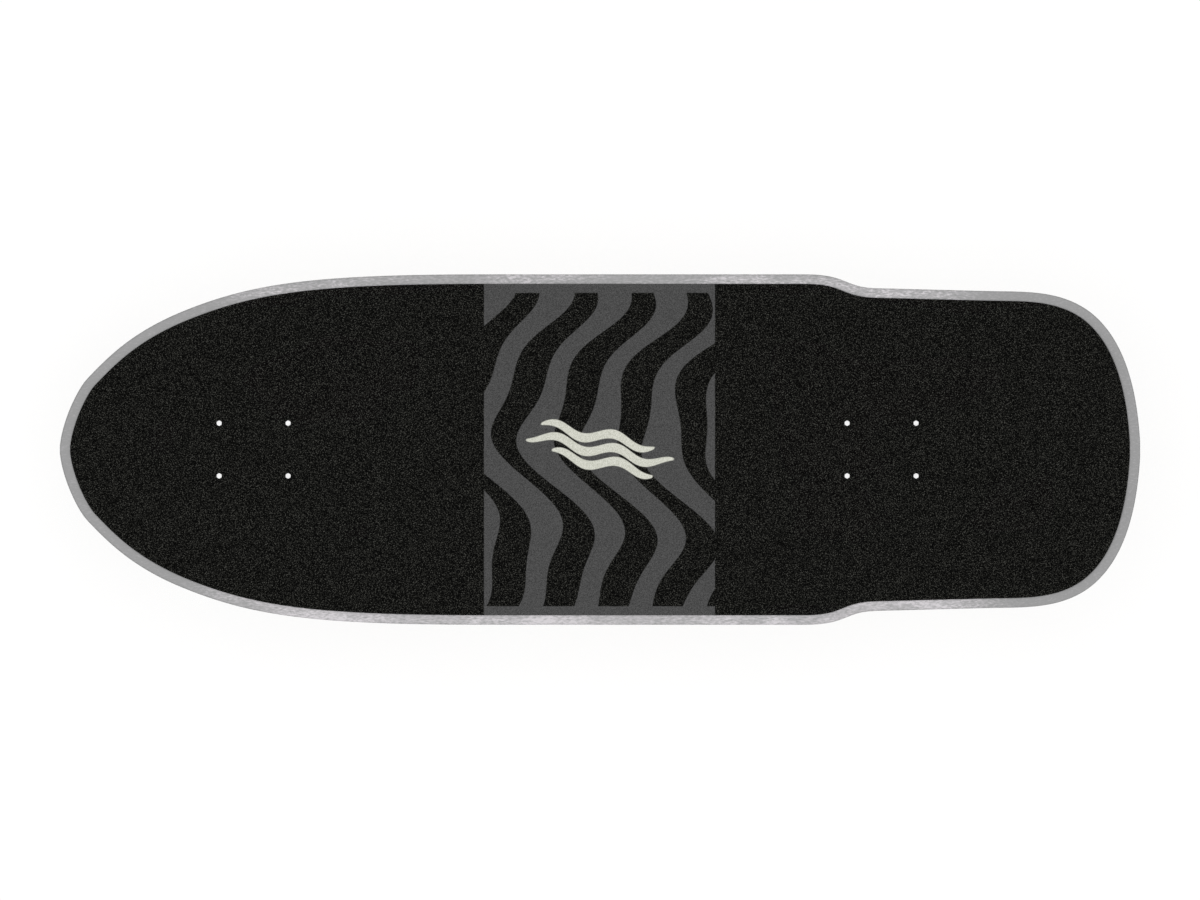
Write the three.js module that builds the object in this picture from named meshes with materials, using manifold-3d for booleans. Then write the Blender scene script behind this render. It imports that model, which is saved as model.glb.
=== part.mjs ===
// Surf skateboard: a pressed maple deck on two reverse-kingpin trucks, the front one carried
// by an arm that swivels under the deck against a coil spring.
// Millimetres. +X points to the tail, +Y to the board's left side, +Z up. The origin is on the
// ground, under the middle of the deck's outline.

import * as THREE from 'three';
import { mergeVertices } from 'three/addons/utils/BufferGeometryUtils.js';
import Module from 'manifold-3d';

const wasm = await Module();
wasm.setup();

// Clearances shared by the whole board
const turnedGap = 0.3;
const flatGap = 0.05;
const boreGap = 0.3;
const overrun = 2;

// Deck
const deckLength = 845.8;
const deckWidth = 274.4;
const plyCount = 7;
const plyThickness = 1.45;
const glueLine = 0.05;
const gripThickness = 1;
const gripInset = 7.6;
const concaveDepth = 7;
const noseLift = 8;
const noseBendClearance = 8.7;
const kickClearance = 1.4;
const kickBend = 52;
const kickRisePerLength = 0.25;
const flatStripShare = 0.33;
const columnShares = [-1, -0.66, -flatStripShare, flatStripShare, 0.66, 1];

// Half of the deck's outline, from the blunt tip of the nose to the end of the tail, as cubic curves.
// Each row holds two handles and an end, as shares of half the length and of half the width,
// and where on it the deck's facets break.
const outlineStartShare = [-1, 0.023];
const outlineShares = [
  { curve: [[-1, 0.087], [-0.977, 0.293], [-0.963, 0.348]], breaks: [0, 0.25, 0.5, 0.75, 1] },
  { curve: [[-0.914, 0.544], [-0.853, 0.693], [-0.763, 0.8]], breaks: [0.3, 0.6, 1] },
  { curve: [[-0.638, 0.95], [-0.532, 1], [-0.201, 1]], breaks: [0.2, 0.4, 0.6, 0.8, 1] },
  { curve: [[-0.007, 1], [0.186, 1], [0.38, 1]], breaks: [1] },
  { curve: [[0.459, 1], [0.451, 0.926], [0.511, 0.921]], breaks: [0.3, 0.5, 0.7, 1] },
  { curve: [[0.579, 0.916], [0.646, 0.91], [0.714, 0.905]], breaks: [0.75, 1] },
  { curve: [[0.78, 0.899], [0.848, 0.917], [0.905, 0.791]], breaks: [0.3, 0.6, 0.8, 1] },
  { curve: [[0.968, 0.647], [0.994, 0.37], [1, 0.046]], breaks: [0.2, 0.4, 0.6, 0.8, 1] },
];

// Truck bolts and their pattern
const noseToFrontPattern = 151.7;
const tailToRearPattern = 202.4;
const patternLength = 53.975;
const patternWidth = 41.275;
const boltRadius = 2.4;
const boltHoleRadius = 2.75;
const boltHeadRadius = 4;
const boltHeadHeight = 1.3;
const boltSocketRadius = 2.2;
const boltSocketDepth = 0.9;
const boltNutRadius = 4.7;
const boltNutHeight = 5.5;
const boltEnd = 1;
const boltSides = 8;

// Risers, base and baseplate
const plateThickness = 8;
const plateCornerRadius = 8;
const cornerSegments = 3;
const plateWidth = 58;
const frontRiserThickness = 3;
const frontBaseAhead = 48;
const frontBaseBehind = 54;
const rearPlateAhead = 42;
const rearPlateBehind = 42;

// Swivel of the front arm
const frontAxleLead = 18.8;
const rearAxleTrail = 7.5;
const swivelOffset = 54;
const kingBoltRadius = 6;
const kingBoltHeadRadius = 10;
const kingBoltHeadHeight = 6;
const bossRadius = 14;
const bossHeight = 6.5;
const thrustWasherThickness = 1.5;
const armRingRadius = 17;
const armRingHeight = 23.5;
const kingNutFlangeRadius = 14;
const kingNutFlangeHeight = 2.5;
const kingNutRadius = 9.5;
const kingNutHeight = 8;
const kingBoltEnd = 2;
const springHeight = 25.4;
const springWire = 3.6;
const springRadius = 11;
const springCurls = 3;
const springStepsPerCurl = 8;
const springSides = 5;

// Steering geometry of both trucks, along the steering axis and square to it
const steeringAngle = Math.PI / 4;
const blockRise = 68.4;
const rake = 16;
const pivotReach = 26;
const ringReach = 22;
const steeringAxis = new THREE.Vector3(Math.cos(steeringAngle), 0, Math.sin(steeringAngle));
const kingpinAxis = new THREE.Vector3(Math.sin(steeringAngle), 0, -Math.cos(steeringAngle));

// Kingpin stack
const ringRadius = 19;
const ringThickness = 10;
const ringBore = 7.5;
const boardsideBushingLength = 14;
const boardsideBushingRadius = 12.5;
const roadsideBushingLength = 12;
const roadsideBushingRadius = 11.5;
const roadsideBushingEndRadius = 9.5;
const cupWasherThickness = 1.5;
const boardsideWasherRadius = 13;
const roadsideWasherRadius = 11.5;
const kingpinRadius = 4.75;
const kingpinHeadRadius = 7.5;
const kingpinHeadHeight = 6;
const kingpinNutRadius = 8.2;
const kingpinNutHeight = 7;
const kingpinEnd = 2;
const seatWall = 10;
const seatHalfLength = 14;

// Block, leg and pivot socket, which the arm and the baseplate share
const blockHalfWidth = 14.5;
const legHalfWidth = 11;
const legBack = 39.5;
const legWaistRise = 18;
const socketRadius = 10;
const socketRim = 4;
const socketDepth = 12;
const cupWall = 2;
const pivotRadius = 5.5;

// Hanger
const hangerHalfLength = 64;
const barRadius = 10;
const barEndRadius = 8.5;
const barTaperLength = 16;
const webHalfWidth = 9;
const webFront = 7.5;
const webBack = 16;
const webUnder = 8;
const wingHalfLength = 52;
const wingThickness = 9;

// Wheels
const wheelRadius = 33;
const wheelWidth = 46;
const wheelSides = 20;
const wheelInset = 3;
const wheelLip = 5;
const wheelBoreRadius = 8;
const bearingRadius = 11;
const bearingWidth = 7;
const bearingSpacing = 10;
const axleRadius = 4;
const spacerRadius = 5.8;
const speedWasher = 1;
const axleNutRadius = 7.2;
const axleNutHeight = 5.5;
const axleEnd = 3;
const roundSides = 12;
const smallSides = 8;
const hexSides = 6;

// Heights, from the ground up
const axleHeight = wheelRadius * Math.cos(Math.PI / wheelSides);
const armTop = axleHeight + blockRise;
const frontBaseBottom = armTop + thrustWasherThickness + bossHeight;
const frontBaseTop = frontBaseBottom + plateThickness;
const deckBottom = frontBaseTop + frontRiserThickness;
const rearPlateTop = armTop + plateThickness;
const rearRiserThickness = deckBottom - rearPlateTop;
const deckTop = deckBottom + plyCount * plyThickness + (plyCount - 1) * glueLine;

// Places along the board
const frontPatternX = -deckLength / 2 + noseToFrontPattern;
const rearPatternX = deckLength / 2 - tailToRearPattern;
const frontAxleX = frontPatternX - frontAxleLead;
const rearAxleX = rearPatternX + rearAxleTrail;
const swivelX = frontAxleX + swivelOffset;
const noseBendStart = frontPatternX - frontBaseAhead - noseBendClearance;
const noseBendLength = noseBendStart + deckLength / 2;
const kickStart = rearPatternX + rearPlateBehind + kickClearance;
const kickLength = deckLength / 2 - kickStart;

// Finishes
const finishes = {
  grip: { color: 0x1c1c1b, roughness: 0.95, metalness: 0 },
  topVeneer: { color: 0x9a9a9b, roughness: 0.5, metalness: 0 },
  maple: { color: 0xcfae82, roughness: 0.6, metalness: 0 },
  blackSteel: { color: 0x1a1a1a, roughness: 0.45, metalness: 0.8 },
  steel: { color: 0xb8b8ba, roughness: 0.3, metalness: 1 },
  castAluminium: { color: 0xa9abae, roughness: 0.42, metalness: 1 },
  spring: { color: 0x8e9094, roughness: 0.35, metalness: 1 },
  riser: { color: 0x161616, roughness: 0.8, metalness: 0 },
  bushing: { color: 0xd9d3c0, roughness: 0.5, metalness: 0 },
  wheel: { color: 0xe6dfcc, roughness: 0.4, metalness: 0 },
  bearing: { color: 0x9da0a3, roughness: 0.35, metalness: 0.9 },
};
const materials = {};
for (const [name, finish] of Object.entries(finishes)) {
  materials[name] = new THREE.MeshStandardMaterial(finish);
}

const board = new THREE.Group();

// Makes a closed geometry a solid: shared corners are merged, collapsed triangles dropped, and
// the faces turned outwards
function solid(geometry) {
  geometry.deleteAttribute('normal');
  geometry.deleteAttribute('uv');
  const merged = mergeVertices(geometry);
  const corners = merged.index.array;
  const places = merged.attributes.position.array;
  const kept = [];
  let volume = 0;
  const [a, b, c] = [new THREE.Vector3(), new THREE.Vector3(), new THREE.Vector3()];
  for (let i = 0; i < corners.length; i += 3) {
    const [p, q, r] = corners.slice(i, i + 3);
    if (p !== q && q !== r && r !== p) {
      kept.push([p, q, r]);
      a.fromArray(places, 3 * p);
      b.fromArray(places, 3 * q);
      c.fromArray(places, 3 * r);
      volume += a.dot(b.cross(c));
    }
  }
  const facing = volume < 0 ? kept.map(([p, q, r]) => [p, r, q]) : kept;
  const triVerts = new Uint32Array(facing.flat());
  return new wasm.Manifold(new wasm.Mesh({ numProp: 3, vertProperties: places, triVerts }));
}

function joined(...solids) {
  return solids.reduce((sum, next) => sum.add(next));
}

function cut(body, ...tools) {
  return tools.reduce((rest, tool) => rest.subtract(tool), body);
}

// Adds one solid to a group as a named mesh
function addPiece(group, name, body, material) {
  const { vertProperties, triVerts } = body.getMesh();
  const geometry = new THREE.BufferGeometry();
  geometry.setAttribute('position', new THREE.BufferAttribute(vertProperties, 3));
  geometry.setIndex(new THREE.BufferAttribute(triVerts, 1));
  geometry.computeVertexNormals();
  const mesh = new THREE.Mesh(geometry, material);
  mesh.name = name;
  group.add(mesh);
}

// Turns a profile of (radius, distance) points about an axis that starts at origin
function revolve(profile, sides, origin, direction, roll = 0) {
  const geometry = new THREE.LatheGeometry(profile.map(([r, y]) => new THREE.Vector2(r, y)), sides);
  geometry.rotateY(roll);
  const turn = new THREE.Quaternion().setFromUnitVectors(new THREE.Vector3(0, 1, 0), direction);
  geometry.applyQuaternion(turn);
  geometry.translate(origin.x, origin.y, origin.z);
  return solid(geometry);
}

function rod(radius, from, to, sides, origin, direction) {
  return revolve([[0, from], [radius, from], [radius, to], [0, to]], sides, origin, direction);
}

function ring(inner, outer, from, to, sides, origin, direction) {
  const profile = [[inner, from], [outer, from], [outer, to], [inner, to], [inner, from]];
  return revolve(profile, sides, origin, direction);
}

function hexNut(bore, outer, from, to, origin, direction) {
  const hexagon = rod(outer, from, to, hexSides, origin, direction);
  return cut(hexagon, rod(bore, from - overrun, to + overrun, roundSides, origin, direction));
}

// Extrudes an outline in the upright plane along the board, to both sides of its middle
function uprightSlab(points, halfWidth) {
  const shape = new THREE.Shape(points.map(([x, z]) => new THREE.Vector2(x, z)));
  const geometry = new THREE.ExtrudeGeometry(shape, { depth: 2 * halfWidth, bevelEnabled: false });
  geometry.rotateX(Math.PI / 2);
  geometry.translate(0, halfWidth, 0);
  return solid(geometry);
}

const up = new THREE.Vector3(0, 0, 1);
const across = new THREE.Vector3(0, 1, 0);

// Deck: outline, height and sheets

// The share of a cubic's course at which it reaches a place along the board
function shareAt(cubic, x) {
  let [low, high] = [0, 1];
  while (high - low > Number.EPSILON) {
    const middle = (low + high) / 2;
    if (cubic.getPoint(middle).x < x) {
      low = middle;
    } else {
      high = middle;
    }
  }
  return high;
}

// Stations along the outline: its own breaks, and the two places where the deck starts to bend
function halfOutline() {
  const point = ([x, y]) => new THREE.Vector2(x * deckLength / 2, y * deckWidth / 2);
  const stations = [];
  let from = point(outlineStartShare);
  for (const { curve, breaks } of outlineShares) {
    const [handleA, handleB, end] = curve.map(point);
    const cubic = new THREE.CubicBezierCurve(from, handleA, handleB, end);
    const bends = [noseBendStart, kickStart].filter((x) => from.x < x && x < end.x);
    const shares = [...breaks, ...bends.map((x) => shareAt(cubic, x))].sort((a, b) => a - b);
    for (const share of shares) {
      stations.push({ point: cubic.getPoint(share), along: cubic.getTangent(share) });
    }
    from = end;
  }
  return stations;
}

function deckRise(x, y, halfWidth) {
  const fromFlat = Math.max(0, (Math.abs(y) / halfWidth - flatStripShare) / (1 - flatStripShare));
  const concave = concaveDepth * (2 * halfWidth / deckWidth) ** 2 * fromFlat ** 2;
  const beforeNose = Math.max(0, noseBendStart - x);
  const nose = noseLift * (beforeNose / noseBendLength) ** 2;
  const pastKick = Math.max(0, x - kickStart);
  const bent = Math.min(pastKick, kickBend);
  const kick = kickRisePerLength * (bent ** 2 / (2 * kickBend) + pastKick - bent);
  return concave + nose + kick;
}

// A sheet of even thickness, as large as the deck, that follows its height
function deckSheet(bottom, thickness) {
  const stations = halfOutline();
  const columns = columnShares.length;
  const places = [];
  for (const level of [bottom, bottom + thickness]) {
    for (const { point } of stations) {
      for (const share of columnShares) {
        const y = share * point.y;
        places.push(point.x, y, level + deckRise(point.x, y, point.y));
      }
    }
  }
  const count = stations.length * columns;
  const faces = [];
  const quad = (a, b, c, d) => faces.push(a, b, c, a, c, d);
  for (let i = 0; i + 1 < stations.length; i += 1) {
    for (let j = 0; j + 1 < columns; j += 1) {
      const corner = i * columns + j;
      quad(corner, corner + 1, corner + columns + 1, corner + columns);
      quad(count + corner, count + corner + columns, count + corner + columns + 1, count + corner + 1);
    }
    for (const side of [0, columns - 1]) {
      const corner = i * columns + side;
      const next = corner + columns;
      if (side === 0) {
        quad(corner, next, count + next, count + corner);
      } else {
        quad(next, corner, count + corner, count + next);
      }
    }
  }
  for (let j = 0; j + 1 < columns; j += 1) {
    const last = (stations.length - 1) * columns + j;
    quad(j + 1, j, count + j, count + j + 1);
    quad(last, last + 1, count + last + 1, count + last);
  }
  const geometry = new THREE.BufferGeometry();
  geometry.setAttribute('position', new THREE.BufferAttribute(new Float32Array(places), 3));
  geometry.setIndex(faces);
  return solid(geometry);
}

// An upright block with the deck's outline drawn in by an inset
function insetBlock(inset, bottom, top) {
  const half = halfOutline().map(({ point, along }) => (
    new THREE.Vector2(point.x + inset * along.y, point.y - inset * along.x)
  ));
  const otherHalf = half.map(({ x, y }) => new THREE.Vector2(x, -y)).reverse();
  const shape = new THREE.Shape([...half, ...otherHalf]);
  const geometry = new THREE.ExtrudeGeometry(shape, { depth: top - bottom, bevelEnabled: false });
  geometry.translate(0, 0, bottom);
  return solid(geometry);
}

function boltPlaces(patternX) {
  const places = [];
  for (const [endName, end] of [['front', -1], ['rear', 1]]) {
    for (const [sideName, side] of [['left', 1], ['right', -1]]) {
      const x = patternX + end * patternLength / 2;
      places.push({ name: `${endName}_${sideName}`, x, y: side * patternWidth / 2 });
    }
  }
  return places;
}

const allBolts = [...boltPlaces(frontPatternX), ...boltPlaces(rearPatternX)];

function boltHoles(radius, from, to) {
  return allBolts.map(({ x, y }) => rod(radius, from, to, boltSides, new THREE.Vector3(x, y, 0), up));
}

for (let ply = 1; ply <= plyCount; ply += 1) {
  const bottom = deckBottom + (ply - 1) * (plyThickness + glueLine);
  const holes = boltHoles(boltHoleRadius, bottom - overrun, bottom + plyThickness + overrun);
  const sheet = cut(deckSheet(bottom, plyThickness), ...holes);
  if (ply === plyCount) {
    addPiece(board, 'top_veneer', sheet, materials.topVeneer);
  } else {
    addPiece(board, `maple_ply_${ply}`, sheet, materials.maple);
  }
}
const gripBottom = deckTop + glueLine;
const gripTop = gripBottom + gripThickness;
const gripHoles = boltHoles(boltHeadRadius + boreGap, gripBottom - overrun, gripTop + overrun);
const highestGrip = gripTop + concaveDepth + kickRisePerLength * kickLength;
const gripOutline = insetBlock(gripInset, deckBottom, highestGrip);
const gripSheet = deckSheet(gripBottom, gripThickness).intersect(gripOutline);
addPiece(board, 'grip_sheet', cut(gripSheet, ...gripHoles), materials.grip);

// Plates under the deck, with the bolt pattern cut through them

function roundedPlate(fromX, toX, bottom, thickness) {
  const [low, high, side, r] = [fromX, toX, plateWidth / 2, plateCornerRadius];
  const shape = new THREE.Shape();
  shape.moveTo(low + r, -side);
  shape.lineTo(high - r, -side);
  shape.absarc(high - r, -side + r, r, -Math.PI / 2, 0);
  shape.lineTo(high, side - r);
  shape.absarc(high - r, side - r, r, 0, Math.PI / 2);
  shape.lineTo(low + r, side);
  shape.absarc(low + r, side - r, r, Math.PI / 2, Math.PI);
  shape.lineTo(low, -side + r);
  shape.absarc(low + r, -side + r, r, Math.PI, 3 * Math.PI / 2);
  const settings = { depth: thickness, bevelEnabled: false, curveSegments: cornerSegments };
  const geometry = new THREE.ExtrudeGeometry(shape, settings);
  geometry.translate(0, 0, bottom);
  return solid(geometry);
}

function patternHoles(patternX, bottom, thickness) {
  const [from, to] = [bottom - overrun, bottom + thickness + overrun];
  return boltPlaces(patternX).map(({ x, y }) => (
    rod(boltHoleRadius, from, to, boltSides, new THREE.Vector3(x, y, 0), up)
  ));
}

const frontRiser = roundedPlate(
  frontPatternX - frontBaseAhead, frontPatternX + frontBaseBehind,
  frontBaseTop + flatGap, frontRiserThickness - 2 * flatGap,
);
addPiece(
  board, 'front_riser_pad',
  cut(frontRiser, ...patternHoles(frontPatternX, frontBaseTop, frontRiserThickness)), materials.riser,
);
const rearRiser = roundedPlate(
  rearPatternX - rearPlateAhead, rearPatternX + rearPlateBehind,
  rearPlateTop + flatGap, rearRiserThickness - 2 * flatGap,
);
addPiece(
  board, 'rear_riser_pad',
  cut(rearRiser, ...patternHoles(rearPatternX, rearPlateTop, rearRiserThickness)), materials.riser,
);

// Deck bolts, each with its lock nut run on

function deckBolt(x, y, clampBottom) {
  const at = new THREE.Vector3(x, y, 0);
  const headBottom = deckTop + flatGap;
  const headTop = headBottom + boltHeadHeight;
  const nutTop = clampBottom - flatGap;
  const head = rod(boltHeadRadius, headBottom, headTop, boltSides, at, up);
  const nutBottom = nutTop - boltNutHeight;
  const socketFloor = headTop - boltSocketDepth;
  const shank = rod(boltRadius, nutBottom - boltEnd, socketFloor, boltSides, at, up);
  const nut = rod(boltNutRadius, nutBottom, nutTop, hexSides, at, up);
  const socket = rod(boltSocketRadius, socketFloor, headTop + overrun, hexSides, at, up);
  return cut(joined(head, shank, nut), socket);
}

for (const { name, x, y } of boltPlaces(frontPatternX)) {
  addPiece(board, `front_truck_bolt_${name}`, deckBolt(x, y, frontBaseBottom), materials.blackSteel);
}
for (const { name, x, y } of boltPlaces(rearPatternX)) {
  addPiece(board, `rear_truck_bolt_${name}`, deckBolt(x, y, armTop), materials.blackSteel);
}

// Truck frame: the middle of the axle is at x = 0, outward is +X, and places are given by
// their distance along the steering axis and along the kingpin's axis

function inTruck(along, down) {
  const place = steeringAxis.clone().multiplyScalar(along).addScaledVector(kingpinAxis, down);
  place.z += axleHeight;
  return place;
}

const ringCentre = inTruck(ringReach, -rake);
const steeringFoot = inTruck(0, -rake);
const boardsideBushingTop = -ringThickness / 2 - turnedGap - boardsideBushingLength;
const boardsideWasherTop = boardsideBushingTop - turnedGap - cupWasherThickness;
const seatFace = boardsideWasherTop - turnedGap;
const headSeat = seatFace - seatWall;
const roadsideBushingEnd = ringThickness / 2 + turnedGap + roadsideBushingLength;
const roadsideWasherEnd = roadsideBushingEnd + turnedGap + cupWasherThickness;
const kingpinNutEnd = roadsideWasherEnd + turnedGap + kingpinNutHeight;

function onProfile(along, down) {
  const place = inTruck(along, down);
  return [place.x, place.z];
}

// Block with the inclined kingpin seat, and the leg down to the pivot socket
function seatBlock() {
  const seatDown = seatFace - rake;
  const [seatOuterX, seatOuterZ] = onProfile(ringReach + seatHalfLength, seatDown);
  const [seatInnerX, seatInnerZ] = onProfile(ringReach - seatHalfLength, seatDown);
  const block = uprightSlab([
    [-legBack, armTop], [-legBack, seatInnerZ], [seatInnerX, seatInnerZ],
    [seatOuterX, seatOuterZ], [seatOuterX, armTop],
  ], blockHalfWidth);
  const leg = uprightSlab([
    [-legBack, seatInnerZ + overrun], [-legBack, axleHeight + legWaistRise],
    onProfile(-pivotReach - socketDepth, -rake - socketRadius / 2),
    onProfile(-pivotReach + socketRim, -rake - socketRadius + overrun),
    onProfile(-pivotReach + socketRim, -rake - socketRadius),
    [seatInnerX, seatInnerZ], [seatInnerX, seatInnerZ + overrun],
  ], legHalfWidth);
  const [socketBack, rim] = [-pivotReach - socketDepth, -pivotReach + socketRim];
  const socket = rod(socketRadius, socketBack, rim, roundSides, steeringFoot, steeringAxis);
  return joined(block, leg, socket);
}

function kingpinBore() {
  const bore = rod(
    kingpinRadius + boreGap, headSeat - overrun, seatFace + overrun, roundSides, ringCentre, kingpinAxis,
  );
  const reach = kingpinHeadRadius + boreGap;
  const seatDown = headSeat - rake;
  const [outerX, outerZ] = onProfile(ringReach + reach, seatDown);
  const [innerX, innerZ] = onProfile(ringReach - reach, seatDown);
  const [backX, backZ] = onProfile(ringReach - reach, seatDown - kingpinHeadHeight - 2 * turnedGap);
  const top = rearPlateTop + overrun;
  const pocket = uprightSlab([
    [innerX, innerZ], [outerX, outerZ], [outerX, top], [backX, top], [backX, backZ],
  ], reach);
  return joined(bore, pocket);
}

function socketBore() {
  const bottom = -pivotReach - pivotRadius - cupWall - turnedGap;
  const radius = pivotRadius + boreGap + cupWall + boreGap;
  const mouth = -pivotReach + socketRim + overrun;
  return rod(radius, bottom - turnedGap, mouth, roundSides, steeringFoot, steeringAxis);
}

// Pieces of the kingpin stack and the pivot, alike on both trucks
function addKingpinStack(group, truck) {
  const turned = (name, body, material) => addPiece(group, `${truck}_${name}`, body, material);
  const bore = kingpinRadius + boreGap;
  const stack = (inner, outer, from, to) => (
    ring(inner, outer, from, to, roundSides, ringCentre, kingpinAxis)
  );
  const head = headSeat - turnedGap;
  turned('kingpin', revolve([
    [0, head - kingpinHeadHeight], [kingpinHeadRadius, head - kingpinHeadHeight], [kingpinHeadRadius, head],
    [kingpinRadius, head], [kingpinRadius, kingpinNutEnd + kingpinEnd], [0, kingpinNutEnd + kingpinEnd],
  ], roundSides, ringCentre, kingpinAxis), materials.blackSteel);
  turned('boardside_cup_washer', stack(
    bore, boardsideWasherRadius, boardsideWasherTop, boardsideWasherTop + cupWasherThickness,
  ), materials.steel);
  turned('boardside_bushing', stack(
    bore, boardsideBushingRadius, boardsideBushingTop, boardsideBushingTop + boardsideBushingLength,
  ), materials.bushing);
  const coneTop = ringThickness / 2 + turnedGap;
  turned('roadside_bushing', revolve([
    [bore, coneTop], [roadsideBushingRadius, coneTop], [roadsideBushingEndRadius, roadsideBushingEnd],
    [bore, roadsideBushingEnd], [bore, coneTop],
  ], roundSides, ringCentre, kingpinAxis), materials.bushing);
  turned('roadside_cup_washer', stack(
    bore, roadsideWasherRadius, roadsideWasherEnd - cupWasherThickness, roadsideWasherEnd,
  ), materials.steel);
  turned('kingpin_nut', hexNut(
    bore, kingpinNutRadius, kingpinNutEnd - kingpinNutHeight, kingpinNutEnd, ringCentre, kingpinAxis,
  ), materials.steel);
  const inner = pivotRadius + boreGap;
  const floor = -pivotReach - pivotRadius - turnedGap;
  const rim = -pivotReach + socketRim;
  turned('pivot_cup', revolve([
    [0, floor - cupWall], [inner + cupWall, floor - cupWall], [inner + cupWall, rim],
    [inner, rim], [inner, floor], [0, floor],
  ], roundSides, steeringFoot, steeringAxis), materials.bushing);
}

// Hanger: the bar round the axle, the ring round the kingpin, and the pivot's nose
function hanger() {
  const axleAt = new THREE.Vector3(0, 0, axleHeight);
  const [end, shoulder] = [hangerHalfLength, hangerHalfLength - barTaperLength];
  const bar = revolve([
    [0, -end], [barEndRadius, -end], [barRadius, -shoulder],
    [barRadius, shoulder], [barEndRadius, end], [0, end],
  ], roundSides, axleAt, across);
  const halfRing = ringThickness / 2;
  const eye = rod(ringRadius, -halfRing, halfRing, roundSides, ringCentre, kingpinAxis);
  const webTop = -rake - ringThickness / 2;
  const ringUnder = -rake + ringThickness / 2;
  const webBevel = ringThickness / 4;
  const web = uprightSlab([
    onProfile(-webBack, webTop), onProfile(webFront - webBevel, webTop),
    onProfile(webFront, ringUnder), onProfile(webFront, 0), onProfile(webFront - webBevel, webUnder),
    onProfile(-webUnder, webUnder), onProfile(-webBack, -webUnder),
  ], webHalfWidth);
  const nose = revolve([
    [0, -pivotReach - pivotRadius], [pivotRadius / 2, -pivotReach - pivotRadius * Math.cos(Math.PI / 6)],
    [pivotRadius, -pivotReach], [pivotRadius, -pivotReach + socketRim + overrun],
    [webHalfWidth, -webBack], [webHalfWidth, 0], [0, 0],
  ], roundSides, steeringFoot, steeringAxis);
  return cut(
    joined(bar, eye, web, nose, wings()),
    rod(ringBore, -ringThickness, ringThickness, roundSides, ringCentre, kingpinAxis),
    rod(axleRadius + boreGap, -end - overrun, end + overrun, smallSides, axleAt, across),
  );
}

// Ribs that run from the ring out along the bar, clear of the roadside bushing
function wings() {
  const [low, high, innerEdge] = [-webUnder + overrun, webFront, ringRadius - ringThickness / 2];
  const shoulder = ringReach - ringThickness / 2;
  const outline = [
    [-wingHalfLength, low], [wingHalfLength, low], [wingHalfLength, low + wingThickness],
    [ringRadius, shoulder], [innerEdge, high],
    [-innerEdge, high], [-ringRadius, shoulder], [-wingHalfLength, low + wingThickness],
  ];
  const shape = new THREE.Shape(outline.map(([y, along]) => new THREE.Vector2(y, along)));
  const geometry = new THREE.ExtrudeGeometry(shape, { depth: wingThickness, bevelEnabled: false });
  const toTruck = new THREE.Matrix4().makeBasis(across, steeringAxis, kingpinAxis);
  geometry.applyMatrix4(toTruck.setPosition(inTruck(0, -rake + ringThickness / 4)));
  return solid(geometry);
}

// Axle with its speed washers and bearing spacers, and the wheels that turn on it
const hangerEnd = hangerHalfLength + boreGap;
const innerBearingFrom = hangerEnd + speedWasher + flatGap;
const innerBearingTo = innerBearingFrom + bearingWidth;
const outerBearingFrom = innerBearingTo + bearingSpacing + 2 * flatGap;
const outerBearingTo = outerBearingFrom + bearingWidth;
const axleNutFrom = outerBearingTo + flatGap;
const axleTip = axleNutFrom + axleNutHeight + axleEnd;

function axle() {
  const half = [
    [axleRadius, hangerEnd], [spacerRadius, hangerEnd], [spacerRadius, hangerEnd + speedWasher],
    [axleRadius, hangerEnd + speedWasher], [axleRadius, innerBearingTo + flatGap],
    [spacerRadius, innerBearingTo + flatGap], [spacerRadius, outerBearingFrom - flatGap],
    [axleRadius, outerBearingFrom - flatGap], [axleRadius, axleTip], [0, axleTip],
  ];
  const mirrored = half.map(([r, y]) => [r, -y]).reverse();
  return revolve([...mirrored, ...half], smallSides, new THREE.Vector3(0, 0, axleHeight), across);
}

function bearing(from) {
  const axleAt = new THREE.Vector3(0, 0, axleHeight);
  return ring(axleRadius + boreGap, bearingRadius, from, from + bearingWidth, roundSides, axleAt, across);
}

function wheel() {
  const inner = hangerEnd - wheelInset;
  const outer = inner + wheelWidth;
  const seat = bearingRadius + 2 * boreGap;
  const seatEnd = outerBearingTo + speedWasher;
  const profile = [
    [wheelBoreRadius, innerBearingTo + flatGap], [wheelBoreRadius, outerBearingFrom - flatGap],
    [seat, outerBearingFrom - flatGap], [seat, seatEnd], [seat + wheelLip, seatEnd + wheelInset],
    [wheelRadius - 2 * wheelLip, outer - wheelInset], [wheelRadius - wheelLip - wheelInset, outer],
    [wheelRadius - wheelLip / 3, outer - wheelLip / 2], [wheelRadius, outer - wheelLip],
    [wheelRadius, inner + wheelLip], [wheelRadius - wheelLip / 3, inner + wheelLip / 2],
    [wheelRadius - wheelLip, inner], [seat + wheelLip, inner + wheelInset], [seat, innerBearingFrom],
    [seat, innerBearingTo + flatGap], [wheelBoreRadius, innerBearingTo + flatGap],
  ];
  const flatDown = Math.PI / wheelSides;
  return revolve(profile, wheelSides, new THREE.Vector3(0, 0, axleHeight), across, flatDown);
}

function addAxleAndWheels(group, truck, nearSide, farSide) {
  addPiece(group, `${truck}_axle`, axle(), materials.steel);
  for (const [side, turn] of [[nearSide, 0], [farSide, Math.PI]]) {
    const end = new THREE.Group();
    end.rotation.z = turn;
    const axleAt = new THREE.Vector3(0, 0, axleHeight);
    addPiece(end, `${truck}_${side}_wheel`, wheel(), materials.wheel);
    addPiece(end, `${truck}_${side}_inner_bearing`, bearing(innerBearingFrom), materials.bearing);
    addPiece(end, `${truck}_${side}_outer_bearing`, bearing(outerBearingFrom), materials.bearing);
    addPiece(end, `${truck}_${side}_axle_nut`, hexNut(
      axleRadius + boreGap, axleNutRadius, axleNutFrom, axleNutFrom + axleNutHeight, axleAt, across,
    ), materials.blackSteel);
    group.add(end);
  }
}

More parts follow.
